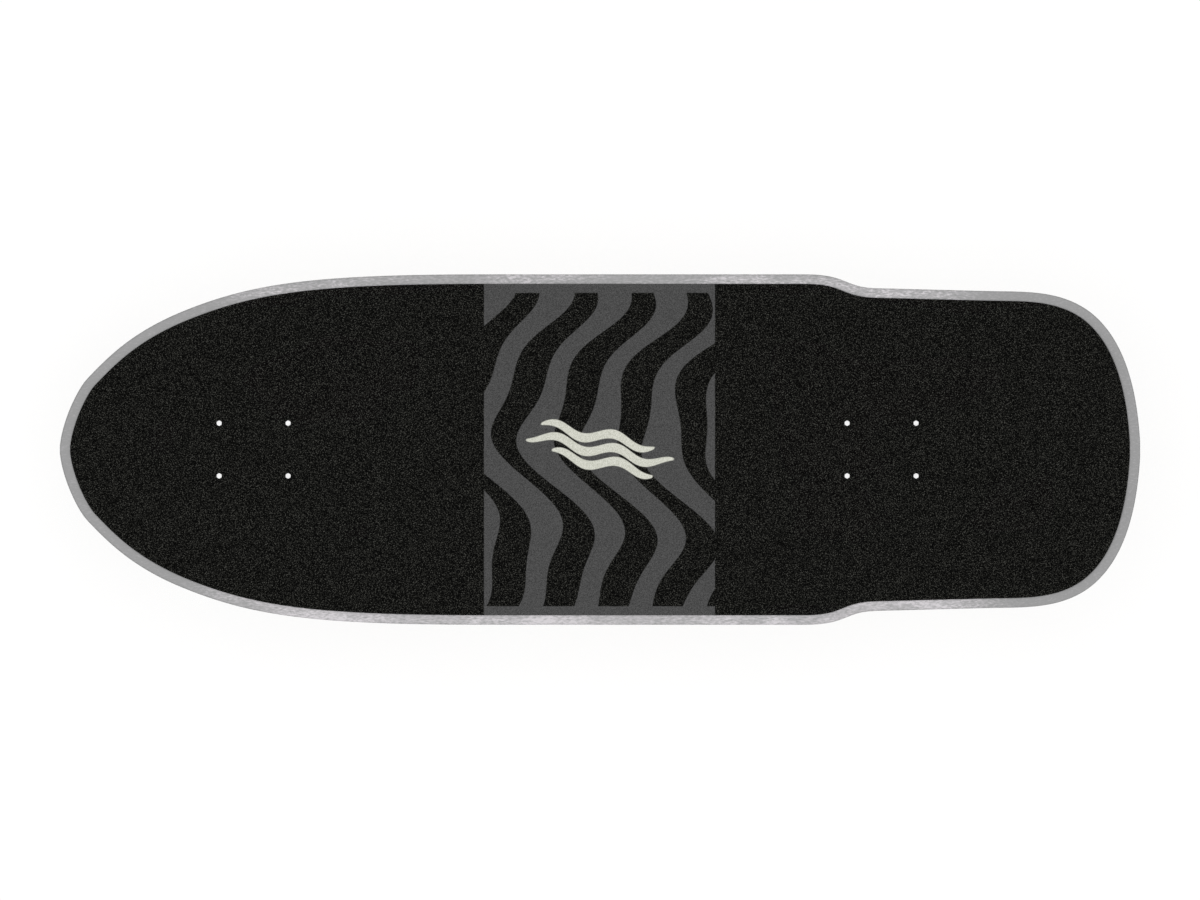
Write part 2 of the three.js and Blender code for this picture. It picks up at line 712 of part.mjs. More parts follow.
// Front truck: base and king bolt on the deck, the arm, and what the arm carries
const swivelAt = new THREE.Vector3(swivelX, 0, 0);
const base = cut(
  joined(
    roundedPlate(
      frontPatternX - frontBaseAhead, frontPatternX + frontBaseBehind, frontBaseBottom, plateThickness,
    ),
    rod(bossRadius, frontBaseBottom - bossHeight, frontBaseBottom + overrun, roundSides, swivelAt, up),
  ),
  ...patternHoles(frontPatternX, frontBaseBottom, plateThickness),
  rod(kingBoltRadius + boreGap, armTop, frontBaseTop + overrun, roundSides, swivelAt, up),
  rod(
    kingBoltHeadRadius + boreGap, frontBaseTop - kingBoltHeadHeight - 2 * flatGap, frontBaseTop + overrun,
    roundSides, swivelAt, up,
  ),
);
addPiece(board, 'front_base', base, materials.castAluminium);

const armRingBottom = armTop - armRingHeight;
const springBottom = armRingBottom - turnedGap - springHeight;
const kingNutTop = springBottom - turnedGap;
const kingBoltHeadTop = frontBaseTop - flatGap;
const kingBoltTip = kingNutTop - kingNutFlangeHeight - kingNutHeight - kingBoltEnd;
addPiece(board, 'king_bolt', revolve([
  [0, kingBoltTip], [kingBoltRadius, kingBoltTip], [kingBoltRadius, kingBoltHeadTop - kingBoltHeadHeight],
  [kingBoltHeadRadius, kingBoltHeadTop - kingBoltHeadHeight], [kingBoltHeadRadius, kingBoltHeadTop],
  [0, kingBoltHeadTop],
], roundSides, swivelAt, up), materials.blackSteel);
addPiece(board, 'thrust_washer', ring(
  kingBoltRadius + boreGap, bossRadius, armTop + flatGap, armTop + thrustWasherThickness - flatGap,
  roundSides, swivelAt, up,
), materials.steel);
const kingNutFlangeBottom = kingNutTop - kingNutFlangeHeight;
const kingNut = joined(
  rod(kingNutFlangeRadius, kingNutFlangeBottom, kingNutTop, roundSides, swivelAt, up),
  rod(kingNutRadius, kingNutFlangeBottom - kingNutHeight, kingNutTop - flatGap, hexSides, swivelAt, up),
);
addPiece(board, 'king_nut', cut(
  kingNut, rod(kingBoltRadius + boreGap, kingBoltTip, kingNutTop + overrun, roundSides, swivelAt, up),
), materials.steel);

const frontTruck = new THREE.Group();
frontTruck.position.x = frontAxleX;
frontTruck.rotation.z = Math.PI;
board.add(frontTruck);

const armPivotAt = new THREE.Vector3(-swivelOffset, 0, 0);
const arm = cut(
  joined(
    seatBlock(),
    rod(armRingRadius, armRingBottom, armTop, roundSides, armPivotAt, up),
    uprightSlab([
      [-swivelOffset, armRingBottom], [-legBack + overrun, armRingBottom],
      [-legBack + overrun, armTop], [-swivelOffset, armTop],
    ], blockHalfWidth),
  ),
  kingpinBore(),
  socketBore(),
  rod(kingBoltRadius + boreGap, armRingBottom - overrun, armTop + overrun, roundSides, armPivotAt, up),
);
addPiece(frontTruck, 'front_swing_arm', arm, materials.castAluminium);

// Centring spring: one wire from a straight foot, round its curls, to a straight head
function springPath() {
  const points = [new THREE.Vector3(springRadius, 0, springBottom)];
  const coiled = springHeight - 2 * springWire;
  const steps = springCurls * springStepsPerCurl;
  for (let step = 0; step <= steps; step += 1) {
    const angle = 2 * Math.PI * step / springStepsPerCurl;
    const height = springBottom + springWire + coiled * step / steps;
    points.push(new THREE.Vector3(springRadius * Math.cos(angle), springRadius * Math.sin(angle), height));
  }
  const top = points.at(-1).clone();
  top.z = springBottom + springHeight;
  points.push(top);
  return points;
}

function wireAlong(points, radius, sides) {
  const places = [];
  const faces = [];
  points.forEach((point, i) => {
    const before = points[Math.max(i - 1, 0)];
    const after = points[Math.min(i + 1, points.length - 1)];
    const along = new THREE.Vector3().subVectors(after, before).normalize();
    const outward = new THREE.Vector3(point.x, point.y, 0).normalize();
    outward.addScaledVector(along, -outward.dot(along)).normalize();
    const beside = new THREE.Vector3().crossVectors(along, outward);
    for (let side = 0; side < sides; side += 1) {
      const angle = 2 * Math.PI * side / sides;
      const spot = point.clone().addScaledVector(outward, radius * Math.cos(angle));
      spot.addScaledVector(beside, radius * Math.sin(angle));
      places.push(spot.x, spot.y, spot.z);
    }
  });
  for (let i = 0; i + 1 < points.length; i += 1) {
    for (let side = 0; side < sides; side += 1) {
      const [a, b] = [i * sides + side, i * sides + (side + 1) % sides];
      faces.push(a, b, b + sides, a, b + sides, a + sides);
    }
  }
  const last = (points.length - 1) * sides;
  for (let side = 1; side + 1 < sides; side += 1) {
    faces.push(0, side + 1, side, last, last + side, last + side + 1);
  }
  const geometry = new THREE.BufferGeometry();
  geometry.setAttribute('position', new THREE.BufferAttribute(new Float32Array(places), 3));
  geometry.setIndex(faces);
  return geometry;
}

function leastGap(points, wire) {
  let least = Infinity;
  const apart = springStepsPerCurl - 1;
  for (let i = 0; i < points.length; i += 1) {
    for (let j = i + apart; j < points.length; j += 1) {
      least = Math.min(least, points[i].distanceTo(points[j]) - wire);
    }
  }
  return least;
}

const springPoints = springPath();
console.log(`centring spring, least gap to itself: ${leastGap(springPoints, springWire).toFixed(2)} mm`);
const springGeometry = wireAlong(springPoints, springWire / 2, springSides);
springGeometry.translate(-swivelOffset, 0, 0);
addPiece(frontTruck, 'centring_spring', solid(springGeometry), materials.spring);

addKingpinStack(frontTruck, 'front');
addPiece(frontTruck, 'front_hanger', hanger(), materials.castAluminium);
addAxleAndWheels(frontTruck, 'front', 'right', 'left');

// Rear truck: the same seat and leg under a plate that is bolted straight to the deck
const rearTruck = new THREE.Group();
rearTruck.position.x = rearAxleX;
board.add(rearTruck);

const plateFrom = -rearAxleTrail - rearPlateAhead;
const plateTo = -rearAxleTrail + rearPlateBehind;
const rearPlate = cut(
  joined(seatBlock(), roundedPlate(plateFrom, plateTo, armTop, plateThickness)),
  kingpinBore(),
  socketBore(),
  ...patternHoles(-rearAxleTrail, armTop, plateThickness),
);
addPiece(rearTruck, 'rear_baseplate', rearPlate, materials.castAluminium);
addKingpinStack(rearTruck, 'rear');
addPiece(rearTruck, 'rear_hanger', hanger(), materials.castAluminium);
addAxleAndWheels(rearTruck, 'rear', 'left', 'right');

export default board;
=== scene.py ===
import math
import bmesh
import bpy
from mathutils import Matrix, Vector


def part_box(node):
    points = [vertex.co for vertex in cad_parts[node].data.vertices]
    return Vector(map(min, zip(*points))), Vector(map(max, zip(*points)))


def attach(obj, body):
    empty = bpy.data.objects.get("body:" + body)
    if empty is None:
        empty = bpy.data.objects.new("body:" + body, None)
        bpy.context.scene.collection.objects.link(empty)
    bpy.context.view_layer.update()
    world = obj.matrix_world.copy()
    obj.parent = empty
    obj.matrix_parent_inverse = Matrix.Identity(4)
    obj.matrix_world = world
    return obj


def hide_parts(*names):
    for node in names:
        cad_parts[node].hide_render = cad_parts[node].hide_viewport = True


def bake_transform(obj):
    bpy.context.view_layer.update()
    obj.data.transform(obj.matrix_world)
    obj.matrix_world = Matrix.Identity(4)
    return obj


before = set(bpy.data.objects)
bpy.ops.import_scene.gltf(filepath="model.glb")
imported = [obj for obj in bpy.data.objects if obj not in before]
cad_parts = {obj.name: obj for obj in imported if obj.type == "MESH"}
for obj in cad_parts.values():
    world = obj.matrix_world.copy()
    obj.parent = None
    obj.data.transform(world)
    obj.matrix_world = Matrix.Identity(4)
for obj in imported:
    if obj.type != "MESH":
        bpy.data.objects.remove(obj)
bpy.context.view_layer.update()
MM = 0.001

# Maple plies
# Six natural maple veneers, about 1.5 mm each, glued in a curved press with their grain along
# or across the board. The stack is then routed to its outline and its edges are rounded.

ply_count = 7
ply_thickness = 1.45 * MM
glue_line = 0.05 * MM
deck_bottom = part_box("maple_ply_1")[0].z
deck_top = deck_bottom + ply_count * ply_thickness + (ply_count - 1) * glue_line
half_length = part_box("top_veneer")[1].x
half_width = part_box("top_veneer")[1].y
edge_radius = 1.5 * MM
concave_depth = 7 * MM
flat_strip_share = 0.33
nose_lift = 8 * MM
nose_clearance = 8.7 * MM
nose_bend_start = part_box("front_base")[0].x - nose_clearance
kick_clearance = 1.4 * MM
kick_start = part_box("rear_riser_pad")[1].x + kick_clearance
kick_bend = 52 * MM
kick_rise_per_length = 0.25
bolt_hole_radius = 2.75 * MM
drill_depth = 20 * MM
sheet_columns = 33
sheet_stations = 221
sheet_levels = 9

# Half of the outline as cubic curves from the blunt tip of the nose to the end of the tail: two
# handles and an end each, as shares of half the length and of half the width
outline_start_share = (-1, 0.023)
outline_shares = [
    [(-0.995, 0.173), (-0.966, 0.352), (-0.949, 0.406)],
    [(-0.912, 0.524), (-0.867, 0.674), (-0.766, 0.797)],
    [(-0.639, 0.953), (-0.524, 1), (-0.207, 1)],
    [(-0.007, 1), (0.186, 1), (0.38, 1)],
    [(0.459, 1), (0.451, 0.926), (0.511, 0.921)],
    [(0.579, 0.916), (0.646, 0.91), (0.714, 0.905)],
    [(0.78, 0.899), (0.848, 0.917), (0.905, 0.791)],
    [(0.968, 0.647), (0.994, 0.37), (1, 0.046)],
]


def feed(tree, socket, value):
    """Links a socket to a value in the tree, or to a list of them, or sets it."""
    for each in value if isinstance(value, list) else [value]:
        each = each.socket if isinstance(each, Number) else each
        if isinstance(each, bpy.types.NodeSocket):
            tree.links.new(each, socket)
        else:
            socket.default_value = each


def add(tree, kind, inputs=None, output=0, **settings):
    """Adds a node with its settings and its inputs, named or counted, and gives an output."""
    made = tree.nodes.new(kind)
    for setting, value in settings.items():
        setattr(made, setting, value)
    for socket, value in (inputs or {}).items():
        feed(tree, made.inputs[socket], value)
    return made.outputs[output]


def worked_out(operation):
    """A method that works out one operation on a number in a node tree."""
    return lambda number, *others: number.math(operation, *others)


class Number:
    """A number in a node tree, so that a rule can be written out as a sum."""

    def __init__(self, tree, socket):
        self.tree = tree
        self.socket = socket

    def math(self, operation, *others):
        inputs = dict(enumerate((self, *others)))
        return Number(self.tree, add(self.tree, "ShaderNodeMath", inputs, operation=operation))

    def minus_from(self, other):
        """Another number less this one."""
        return self.math("MULTIPLY_ADD", -1, other)

    def above_zero(self):
        return self.larger(0)

    def spread(self, low, high, to_low=0, to_high=1):
        """The number carried smoothly from one span to another, and held at the ends."""
        spans = {0: self, 1: low, 2: high, 3: to_low, 4: to_high}
        made = add(self.tree, "ShaderNodeMapRange", spans, interpolation_type="SMOOTHSTEP")
        return Number(self.tree, made)

    __add__ = worked_out("ADD")
    __sub__ = worked_out("SUBTRACT")
    __mul__ = worked_out("MULTIPLY")
    __truediv__ = worked_out("DIVIDE")
    __pow__ = worked_out("POWER")
    larger = worked_out("MAXIMUM")
    smaller = worked_out("MINIMUM")
    size = worked_out("ABSOLUTE")
    root = worked_out("SQRT")
    sine = worked_out("SINE")
    cosine = worked_out("COSINE")


def parts_of(tree, vector):
    split = add(tree, "ShaderNodeSeparateXYZ", {0: vector}).node
    return [Number(tree, socket) for socket in split.outputs]


def vector_of(tree, *numbers):
    return add(tree, "ShaderNodeCombineXYZ", dict(enumerate(numbers)))


def new_tree(name, **labels_by_kind):
    """A Geometry Nodes tree with named inputs of some kinds, and those inputs by name."""
    tree = bpy.data.node_groups.new(name, "GeometryNodeTree")
    for kind, labels in {"Geometry": ["Geometry"], **labels_by_kind, "Material": ["Material"]}.items():
        for label in labels:
            tree.interface.new_socket(name=label, in_out="INPUT", socket_type=f"NodeSocket{kind}")
    tree.interface.new_socket(name="Geometry", in_out="OUTPUT", socket_type="NodeSocketGeometry")
    sockets = tree.nodes.new("NodeGroupInput").outputs
    return tree, {socket.name: Number(tree, socket) for socket in sockets if socket.name}


def end_tree(tree, geometry, given):
    """Ends a tree: what it made becomes one mesh of the given material."""
    whole = add(tree, "GeometryNodeRealizeInstances", {0: geometry})
    finished = add(tree, "GeometryNodeSetMaterial", {"Geometry": whole, "Material": given["Material"]})
    feed(tree, tree.nodes.new("NodeGroupOutput").inputs[0], finished)


def on_pattern(tree, length, width, places, thing):
    """A thing on the four corners of a bolt pattern, at each of some places."""
    corners = add(tree, "GeometryNodeMeshGrid", {
        "Size X": length, "Size Y": width, "Vertices X": 2, "Vertices Y": 2,
    })
    moved = [
        add(tree, "GeometryNodeTransform", {"Geometry": corners, "Translation": place}) for place in places
    ]
    points = add(tree, "GeometryNodeJoinGeometry", {0: moved})
    return add(tree, "GeometryNodeInstanceOnPoints", {"Points": points, "Instance": thing})


def new_piece(name, data):
    piece = bpy.data.objects.new(name, data)
    bpy.context.scene.collection.objects.link(piece)
    return piece


def settle(piece):
    """Keeps what a piece's modifiers make as its own plain mesh."""
    evaluated = piece.evaluated_get(bpy.context.evaluated_depsgraph_get())
    settled = bpy.data.meshes.new_from_object(evaluated)
    piece.modifiers.clear()
    piece.data = settled
    return piece


def grow(name, tree, mesh=None, **values):
    """Makes a piece with a tree: its inputs go in by the names they have there."""
    piece = new_piece(name, mesh or bpy.data.meshes.new(name))
    modifier = piece.modifiers.new("shape", "NODES")
    modifier.node_group = tree
    for item in tree.interface.items_tree:
        word = item.name.lower().replace(" ", "_")
        if item.in_out == "INPUT" and word in values:
            modifier[item.identifier] = values[word]
    return settle(piece)


def drop(*pieces):
    for piece in pieces:
        bpy.data.objects.remove(piece)


def dress(piece, material, slot, body, *nodes, degrees=32):
    """Gives a piece its material, and smooth shading with the edges sharper than this kept crisp.
    It hides the model's parts that the piece stands in for, and hangs it on the body that carries it, where
    that is one body."""
    piece.data.materials.clear()
    piece.data.materials.append(material)
    piece.data.shade_smooth()
    piece.data.set_sharp_from_angle(angle=math.radians(degrees))
    if nodes:
        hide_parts(*nodes)
    if body:
        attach(piece, body)


def outline_place(share):
    return Vector((share[0] * half_length, share[1] * half_width, 0))


def outline_curve():
    curve = bpy.data.curves.new("half_outline", "CURVE")
    curve.dimensions = "3D"
    curve.resolution_u = 48
    points = curve.splines.new("BEZIER").bezier_points
    points.add(len(outline_shares))
    points[0].co = points[0].handle_left = outline_place(outline_start_share)
    for before, point, shares in zip(points, points[1:], outline_shares):
        before.handle_right = outline_place(shares[0])
        point.handle_left = outline_place(shares[1])
        point.co = point.handle_right = outline_place(shares[2])
    for point in points:
        point.handle_left_type = point.handle_right_type = "FREE"
    return new_piece("half_outline", curve)


def deck_rise(x, y, breadth):
    """How far the pressed deck rises above its flat strip, at a place of a given half width."""
    from_flat = ((y.size() / breadth - flat_strip_share) / (1 - flat_strip_share)).above_zero()
    concave = (breadth / half_width * from_flat) ** 2 * concave_depth
    nose_bend = nose_bend_start + half_length
    nose = (x.minus_from(nose_bend_start).above_zero() / nose_bend) ** 2 * nose_lift
    past_kick = (x - kick_start).above_zero()
    bent = past_kick.smaller(kick_bend)
    kick = (bent ** 2 / (2 * kick_bend) + past_kick - bent) * kick_rise_per_length
    return concave + nose + kick


sheet_tree, given = new_tree("pressed sheet", Object=["Outline"], Float=[
    "Bottom", "Thickness", "Inset", "End Inset", "Rounded From", "Rounded To", "Round Radius",
    "Hole Radius", "Hole Along", "Hole Across", "Front Pattern", "Rear Pattern",
])
block = add(sheet_tree, "GeometryNodeMeshCube", {
    "Size": (1, 1, 1), "Vertices X": sheet_stations, "Vertices Y": sheet_columns,
    "Vertices Z": sheet_levels,
})
along, across, upward = parts_of(sheet_tree, add(sheet_tree, "GeometryNodeInputPosition"))
rail = add(sheet_tree, "GeometryNodeSampleCurve", {
    "Curves": add(sheet_tree, "GeometryNodeObjectInfo", {0: given["Outline"]}, "Geometry"),
    "Factor": along + 0.5,
}, "Position", mode="FACTOR", use_all_curves=True)
rail_x, rail_y, _ = parts_of(sheet_tree, rail)
heading_x, heading_y, _ = parts_of(sheet_tree, rail.node.outputs["Tangent"])
climb = ((upward + 0.5) * math.pi).cosine().minus_from(1) * 0.5
level = given["Bottom"] + climb * given["Thickness"]
round_radius = given["Round Radius"]
below_top = level - given["Rounded To"] + round_radius
above_bottom = given["Rounded From"] + round_radius - level
over = below_top.larger(above_bottom).above_zero().smaller(round_radius)
rounded_off = round_radius - (round_radius ** 2 - over ** 2).root()
drawn_in = rounded_off + given["Inset"] + heading_y.size() * given["End Inset"]
sheet_x = rail_x + drawn_in * heading_y
sheet_y = (rail_y - drawn_in * heading_x) * across * 2
sheet_z = level + deck_rise(sheet_x, sheet_y, rail_y)
pressed = add(sheet_tree, "GeometryNodeSetPosition", {
    "Geometry": block, "Position": vector_of(sheet_tree, sheet_x, sheet_y, sheet_z),
})
drill = add(sheet_tree, "GeometryNodeMeshCylinder", {
    "Vertices": 32, "Radius": given["Hole Radius"], "Depth": drill_depth,
})
pattern_places = [
    vector_of(sheet_tree, given[f"{truck} Pattern"], 0, given["Bottom"]) for truck in ("Front", "Rear")
]
drills = on_pattern(sheet_tree, given["Hole Along"], given["Hole Across"], pattern_places, drill)
drilled = add(sheet_tree, "GeometryNodeMeshBoolean", {
    0: pressed, 1: add(sheet_tree, "GeometryNodeRealizeInstances", {0: drills}),
}, operation="DIFFERENCE", solver="MANIFOLD")
end_tree(sheet_tree, drilled, given)


def middle_of(node):
    return sum(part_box(node), Vector()) / 2


def bolt_nodes(truck):
    return [f"{truck}_truck_bolt_{end}_{side}" for end in ("front", "rear") for side in ("left", "right")]


trucks = ("front", "rear")
bolt_places = {truck: [middle_of(node) for node in bolt_nodes(truck)] for truck in trucks}
pattern_x = {
    truck: (min(place.x for place in places) + max(place.x for place in places)) / 2
    for truck, places in bolt_places.items()
}
pattern_length, pattern_width = (
    max(place[axis] for place in bolt_places["front"]) - min(place[axis] for place in bolt_places["front"])
    for axis in (0, 1)
)
half_outline = outline_curve()


def press_sheet(name, node, slot, material, bottom, thickness=ply_thickness, insets=(0.0, 0.0),
                rounding=(deck_bottom, deck_top, edge_radius), hole_radius=bolt_hole_radius):
    """One sheet of the deck, with its bolt holes. Insets are how far its edge lies inside the deck's,
    and how much further at the ends. Rounding is the lower and upper height, and the radius."""
    sheet = grow(
        name, sheet_tree, outline=half_outline, bottom=bottom, thickness=thickness, inset=insets[0],
        end_inset=insets[1], rounded_from=rounding[0], rounded_to=rounding[1], round_radius=rounding[2],
        hole_radius=hole_radius, hole_along=pattern_length, hole_across=pattern_width,
        front_pattern=pattern_x["front"], rear_pattern=pattern_x["rear"], material=material,
    )
    dress(sheet, material, slot, "deck", node, degrees=40)


class Finish:
    """A material in the making: its tree, its shader and the object's own coordinates."""

    def __init__(self, name, **constants):
        self.material = bpy.data.materials.new(name)
        self.material.use_nodes = True
        self.tree = self.material.node_tree
        self.shader = self.tree.nodes["Principled BSDF"]
        self.place = add(self.tree, "ShaderNodeTexCoord", output="Object")
        for word, value in constants.items():
            socket = word.replace("_", " ").title().replace("Ior", "IOR")
            self.shader.inputs[socket].default_value = value

    def noise(self, size, stretch=(1, 1, 1), detail=3.0, rough=0.55, turn=(0, 0, 0)):
        """A noise whose grains are about this size in metres, drawn out along the axes and turned."""
        scales = tuple(1 / (size * each) for each in stretch)
        moved = add(self.tree, "ShaderNodeMapping", {
            "Vector": self.place, "Scale": scales, "Rotation": turn,
        })
        return Number(self.tree, add(self.tree, "ShaderNodeTexNoise", {
            "Vector": moved, "Scale": 1.0, "Detail": detail, "Roughness": rough,
        }, "Fac"))

    def blend(self, share, *colours):
        """A colour between two others, which are fixed or come from the tree."""
        first, second = [(*each, 1) if isinstance(each, tuple) else each for each in colours]
        return add(self.tree, "ShaderNodeMix", {
            0: share, 6: first, 7: second,
        }, 2, data_type="RGBA", clamp_factor=True)

    def done(self, colour, roughness, height, depth, strength):
        """Feeds the shader, with its surface raised by a height from 0 to 1 times a depth."""
        raised = add(self.tree, "ShaderNodeBump", {
            "Height": height, "Distance": depth, "Strength": strength,
        })
        for socket, value in (("Base Color", colour), ("Roughness", roughness), ("Normal", raised)):
            feed(self.tree, self.shader.inputs[socket], value)
        return self.material


def maple(name, light, dark, drawn):
    """Lacquered maple: its grain is drawn out along one axis, with flecks and a slow figure."""
    finish = Finish(name, coat_weight=0.25, coat_roughness=0.3, specular_ior_level=0.4)
    lines = finish.noise(0.9 * MM, drawn, detail=4)
    figure = finish.noise(13 * MM, drawn, detail=3)
    flecks = finish.noise(0.4 * MM, drawn, detail=1).spread(0.62, 0.75)
    share = lines * 0.55 + figure * 0.6 + flecks * 0.35
    colour = finish.blend(share.spread(0.35, 0.95), light, dark)
    return finish.done(colour, lines.spread(0.3, 0.7, 0.42, 0.6), lines, 0.04 * MM, 0.5)


long_maple = maple("lacquered maple, grain along", (0.62, 0.45, 0.27), (0.44, 0.29, 0.15), (30, 1, 1))
cross_maple = maple("maple crossband", (0.47, 0.31, 0.17), (0.33, 0.2, 0.1), (1, 30, 1))
crossbands = (3, 5)
for ply in range(1, ply_count):
    press_sheet(
        f"pressed_ply_{ply}", f"maple_ply_{ply}", "maple", cross_maple if ply in crossbands else long_maple,
        deck_bottom + (ply - 1) * (ply_thickness + glue_line),
    )

# Top veneer
# The seventh maple veneer, dyed silver grey right through, so that the rim stays grey where the
# edge is rounded over. A satin lacquer lies on it. Along the rails its colour carries a painted
# highlight in patches and streaks, lighter still on the -y rail; nose and tail keep the plain grey.


def silver_veneer():
    finish = Finish("silver grey veneer", coat_weight=0.1, coat_roughness=0.4, specular_ior_level=0.3)
    x, y, _ = parts_of(finish.tree, finish.place)
    # Painted highlight: the rails are painted lighter than nose and tail, the -y rail lighter still, in
    # patches and streaks.
    highlight_along_rails = x.size().spread(0.53 * half_length, 0.8 * half_length, 1, 0)
    lighter_minus_y_rail = y.spread(-half_width / 2, half_width / 2, 1, 0)
    grain = finish.noise(1.1 * MM, (3, 1, 1), detail=3)
    highlight_patches = finish.noise(34 * MM, (2.5, 1, 1), detail=2).spread(0.44, 0.62)
    highlight_streaks = finish.noise(2.2 * MM, (3, 1, 1), detail=4, rough=0.7).spread(0.5, 0.64)
    rail_highlight = lighter_minus_y_rail * (highlight_patches * 0.25 + 0.29) + highlight_patches * 0.26 + highlight_patches * highlight_streaks * 0.45 + 0.1
    painted_highlight = rail_highlight * highlight_along_rails
    share = painted_highlight + (grain - 0.5) * (painted_highlight * 2.3 + 1.1)
    # The second colour is the painted highlight's.
    colour = finish.blend(share, (0.303, 0.303, 0.304), (0.662, 0.634, 0.658))
    return finish.done(colour, grain.spread(0.3, 0.7, 0.45, 0.6), grain, 0.03 * MM, 0.4)


press_sheet("silver_veneer", "top_veneer", "top_veneer", silver_veneer(), deck_top - ply_thickness)

# Grip sheet
# Black abrasive sheet with a glued back, laid over the whole deck and cut back from its edge.
# The middle carries a printed grey panel of rolling wave bands with a cream mark of three waves.

grip_thickness = 1 * MM
grip_inset = 7.5 * MM
end_inset = 0.6 * MM
grip_bottom = deck_top + glue_line
grip_edge = 0.35 * MM
head_radius = 4 * MM
grip_hole_radius = head_radius + 0.02 * MM
grit_size = 0.75 * MM
panel_from = -90.8 * MM
panel_to = 90 * MM
panel_margin = 7 * MM
band_pitch = 46 * MM
band_shift = 10 * MM
swell_length = 205 * MM
swell_height = 27 * MM
mark_length = 118 * MM
mark_wave = 47 * MM
mark_height = 3.6 * MM
mark_spacing = 10.2 * MM
mark_stroke = 3.6 * MM
mark_tilt = math.radians(-11)
ink_edge = 0.4 * MM


def rolling_bands(x, y):
    """Bands that roll across the panel, fatter on their crests, as a share of black from 0 to 1."""
    across_swell = y * (2 * math.pi / swell_length)
    swell = (across_swell + 0.9).sine() * swell_height
    ripple = (across_swell * 2.4 + x * 12 + 2.4).sine() * (0.26 * swell_height)
    phase = (x + band_shift + swell + ripple) * (2 * math.pi / band_pitch)
    fatness = (across_swell * 1.25 - 0.9).sine() * 0.42
    soft = ink_edge * 2 * math.pi / band_pitch
    return (phase.sine() + fatness - 0.06).spread(-soft, soft)


def wave_mark(x, y):
    """Three bold waves, one above the other, each tapered to both of its ends."""
    run = x * math.cos(mark_tilt) + y * math.sin(mark_tilt)
    rise = y * math.cos(mark_tilt) - x * math.sin(mark_tilt)
    inked = None
    for row, reach_share in ((-1, 0.7), (0, 1.0), (1, 0.78)):
        middle = run + row * 0.08 * mark_wave
        crest = (middle * (2 * math.pi / mark_wave)).sine() * mark_height
        along_share = middle.size() / (reach_share * mark_length / 2)
        taper = (along_share ** 3).minus_from(1).above_zero() ** 0.5
        away = (rise - row * mark_spacing - crest).size() - taper * mark_stroke
        stroke = away.spread(-ink_edge, ink_edge, 1, 0) * along_share.spread(0.97, 1, 1, 0)
        inked = inked.larger(stroke) if inked else stroke
    return inked


def grit_black(finish):
    """Black abrasive: painted glints on its grains and painted shade in the hollows between them, and
    its grain. The noise is turned, so that no flat part of the deck lies along its lattice."""
    turn = (0.6, 0.45, 0.2)
    grit = finish.noise(grit_size, detail=1, rough=0.6, turn=turn)
    fine = finish.noise(0.35 * grit_size, detail=2, rough=0.6, turn=turn)
    # Painted glints on the grains, over painted shade in the hollows.
    painted_glints = grit.spread(0.51, 0.76) + fine.spread(0.55, 0.85) * 0.25
    return grit, finish.blend(painted_glints, (0.0005, 0.0005, 0.0005), (0.08, 0.08, 0.071))


def grip_finish():
    finish = Finish("printed abrasive sheet", specular_ior_level=0.03)
    x, y, _ = parts_of(finish.tree, finish.place)
    grit, black = grit_black(finish)
    half_panel = (panel_to - panel_from) / 2
    from_middle = (x - (panel_from + half_panel)).size()
    inside_ends = from_middle.spread(half_panel - ink_edge, half_panel + ink_edge, 1, 0)
    panel_side = half_width - grip_inset - panel_margin
    inside_rails = y.size().spread(panel_side - ink_edge, panel_side + ink_edge, 1, 0)
    # Both inks are lighter where the grains stand higher.
    raised_grain_share = grit.spread(0.25, 0.75)
    grey = finish.blend(raised_grain_share, (0.041, 0.041, 0.041), (0.109, 0.109, 0.109))
    cream = finish.blend(raised_grain_share, (0.5, 0.51, 0.43), (0.8, 0.8, 0.72))
    panel = finish.blend(rolling_bands(x, y) * inside_rails, grey, black)
    marked = finish.blend(wave_mark(x, y), panel, cream)
    colour = finish.blend(inside_ends, black, marked)
    return finish.done(colour, grit.spread(0.3, 0.7, 0.85, 1.0), grit, 0.12 * MM, 0.5)


press_sheet(
    "abrasive_sheet", "grip_sheet", "grip", grip_finish(), grip_bottom, grip_thickness,
    (grip_inset, end_inset), (grip_bottom - grip_thickness, grip_bottom + grip_thickness, grip_edge),
    grip_hole_radius,
)
drop(half_outline)

# Riser pads
# Moulded hard rubber, one between the deck and each truck, against shock and to level the board.
# Each has the truck's bolt pattern through it, and the thicker rear one is grooved round its side.

corner_radius = 8 * MM
pad_edge = 0.5 * MM
pad_edge_share = 0.5 / 11
groove_shares = (-0.04, -0.02, 0.02, 0.04)
grooves = {"front": 0, "rear": 3}
upright = (0, 0, 1)


def solid_piece(name, vertices, faces):
    """A piece from closed faces, turned outwards with their doubles merged."""
    made = bmesh.new()
    corners = [made.verts.new(vertex) for vertex in vertices]
    for face in faces:
        made.faces.new([corners[index] for index in face])
    bmesh.ops.remove_doubles(made, verts=made.verts, dist=1e-7)
    bmesh.ops.recalc_face_normals(made, faces=made.faces)
    mesh = bpy.data.meshes.new(name)
    made.to_mesh(mesh)
    made.free()
    return new_piece(name, mesh)


def corner_outline(low, high, radius, steps=8):
    """A rectangle with round corners, counter-clockwise."""
    points = []
    left, right = low[0] + radius, high[0] - radius
    near, far = low[1] + radius, high[1] - radius
    for quarter, centre in enumerate(((right, far), (left, far), (left, near), (right, near))):
        for step in range(steps + 1):
            angle = math.pi / 2 * (quarter + step / steps)
            points.append(Vector(centre) + radius * Vector((math.cos(angle), math.sin(angle))))
    return points


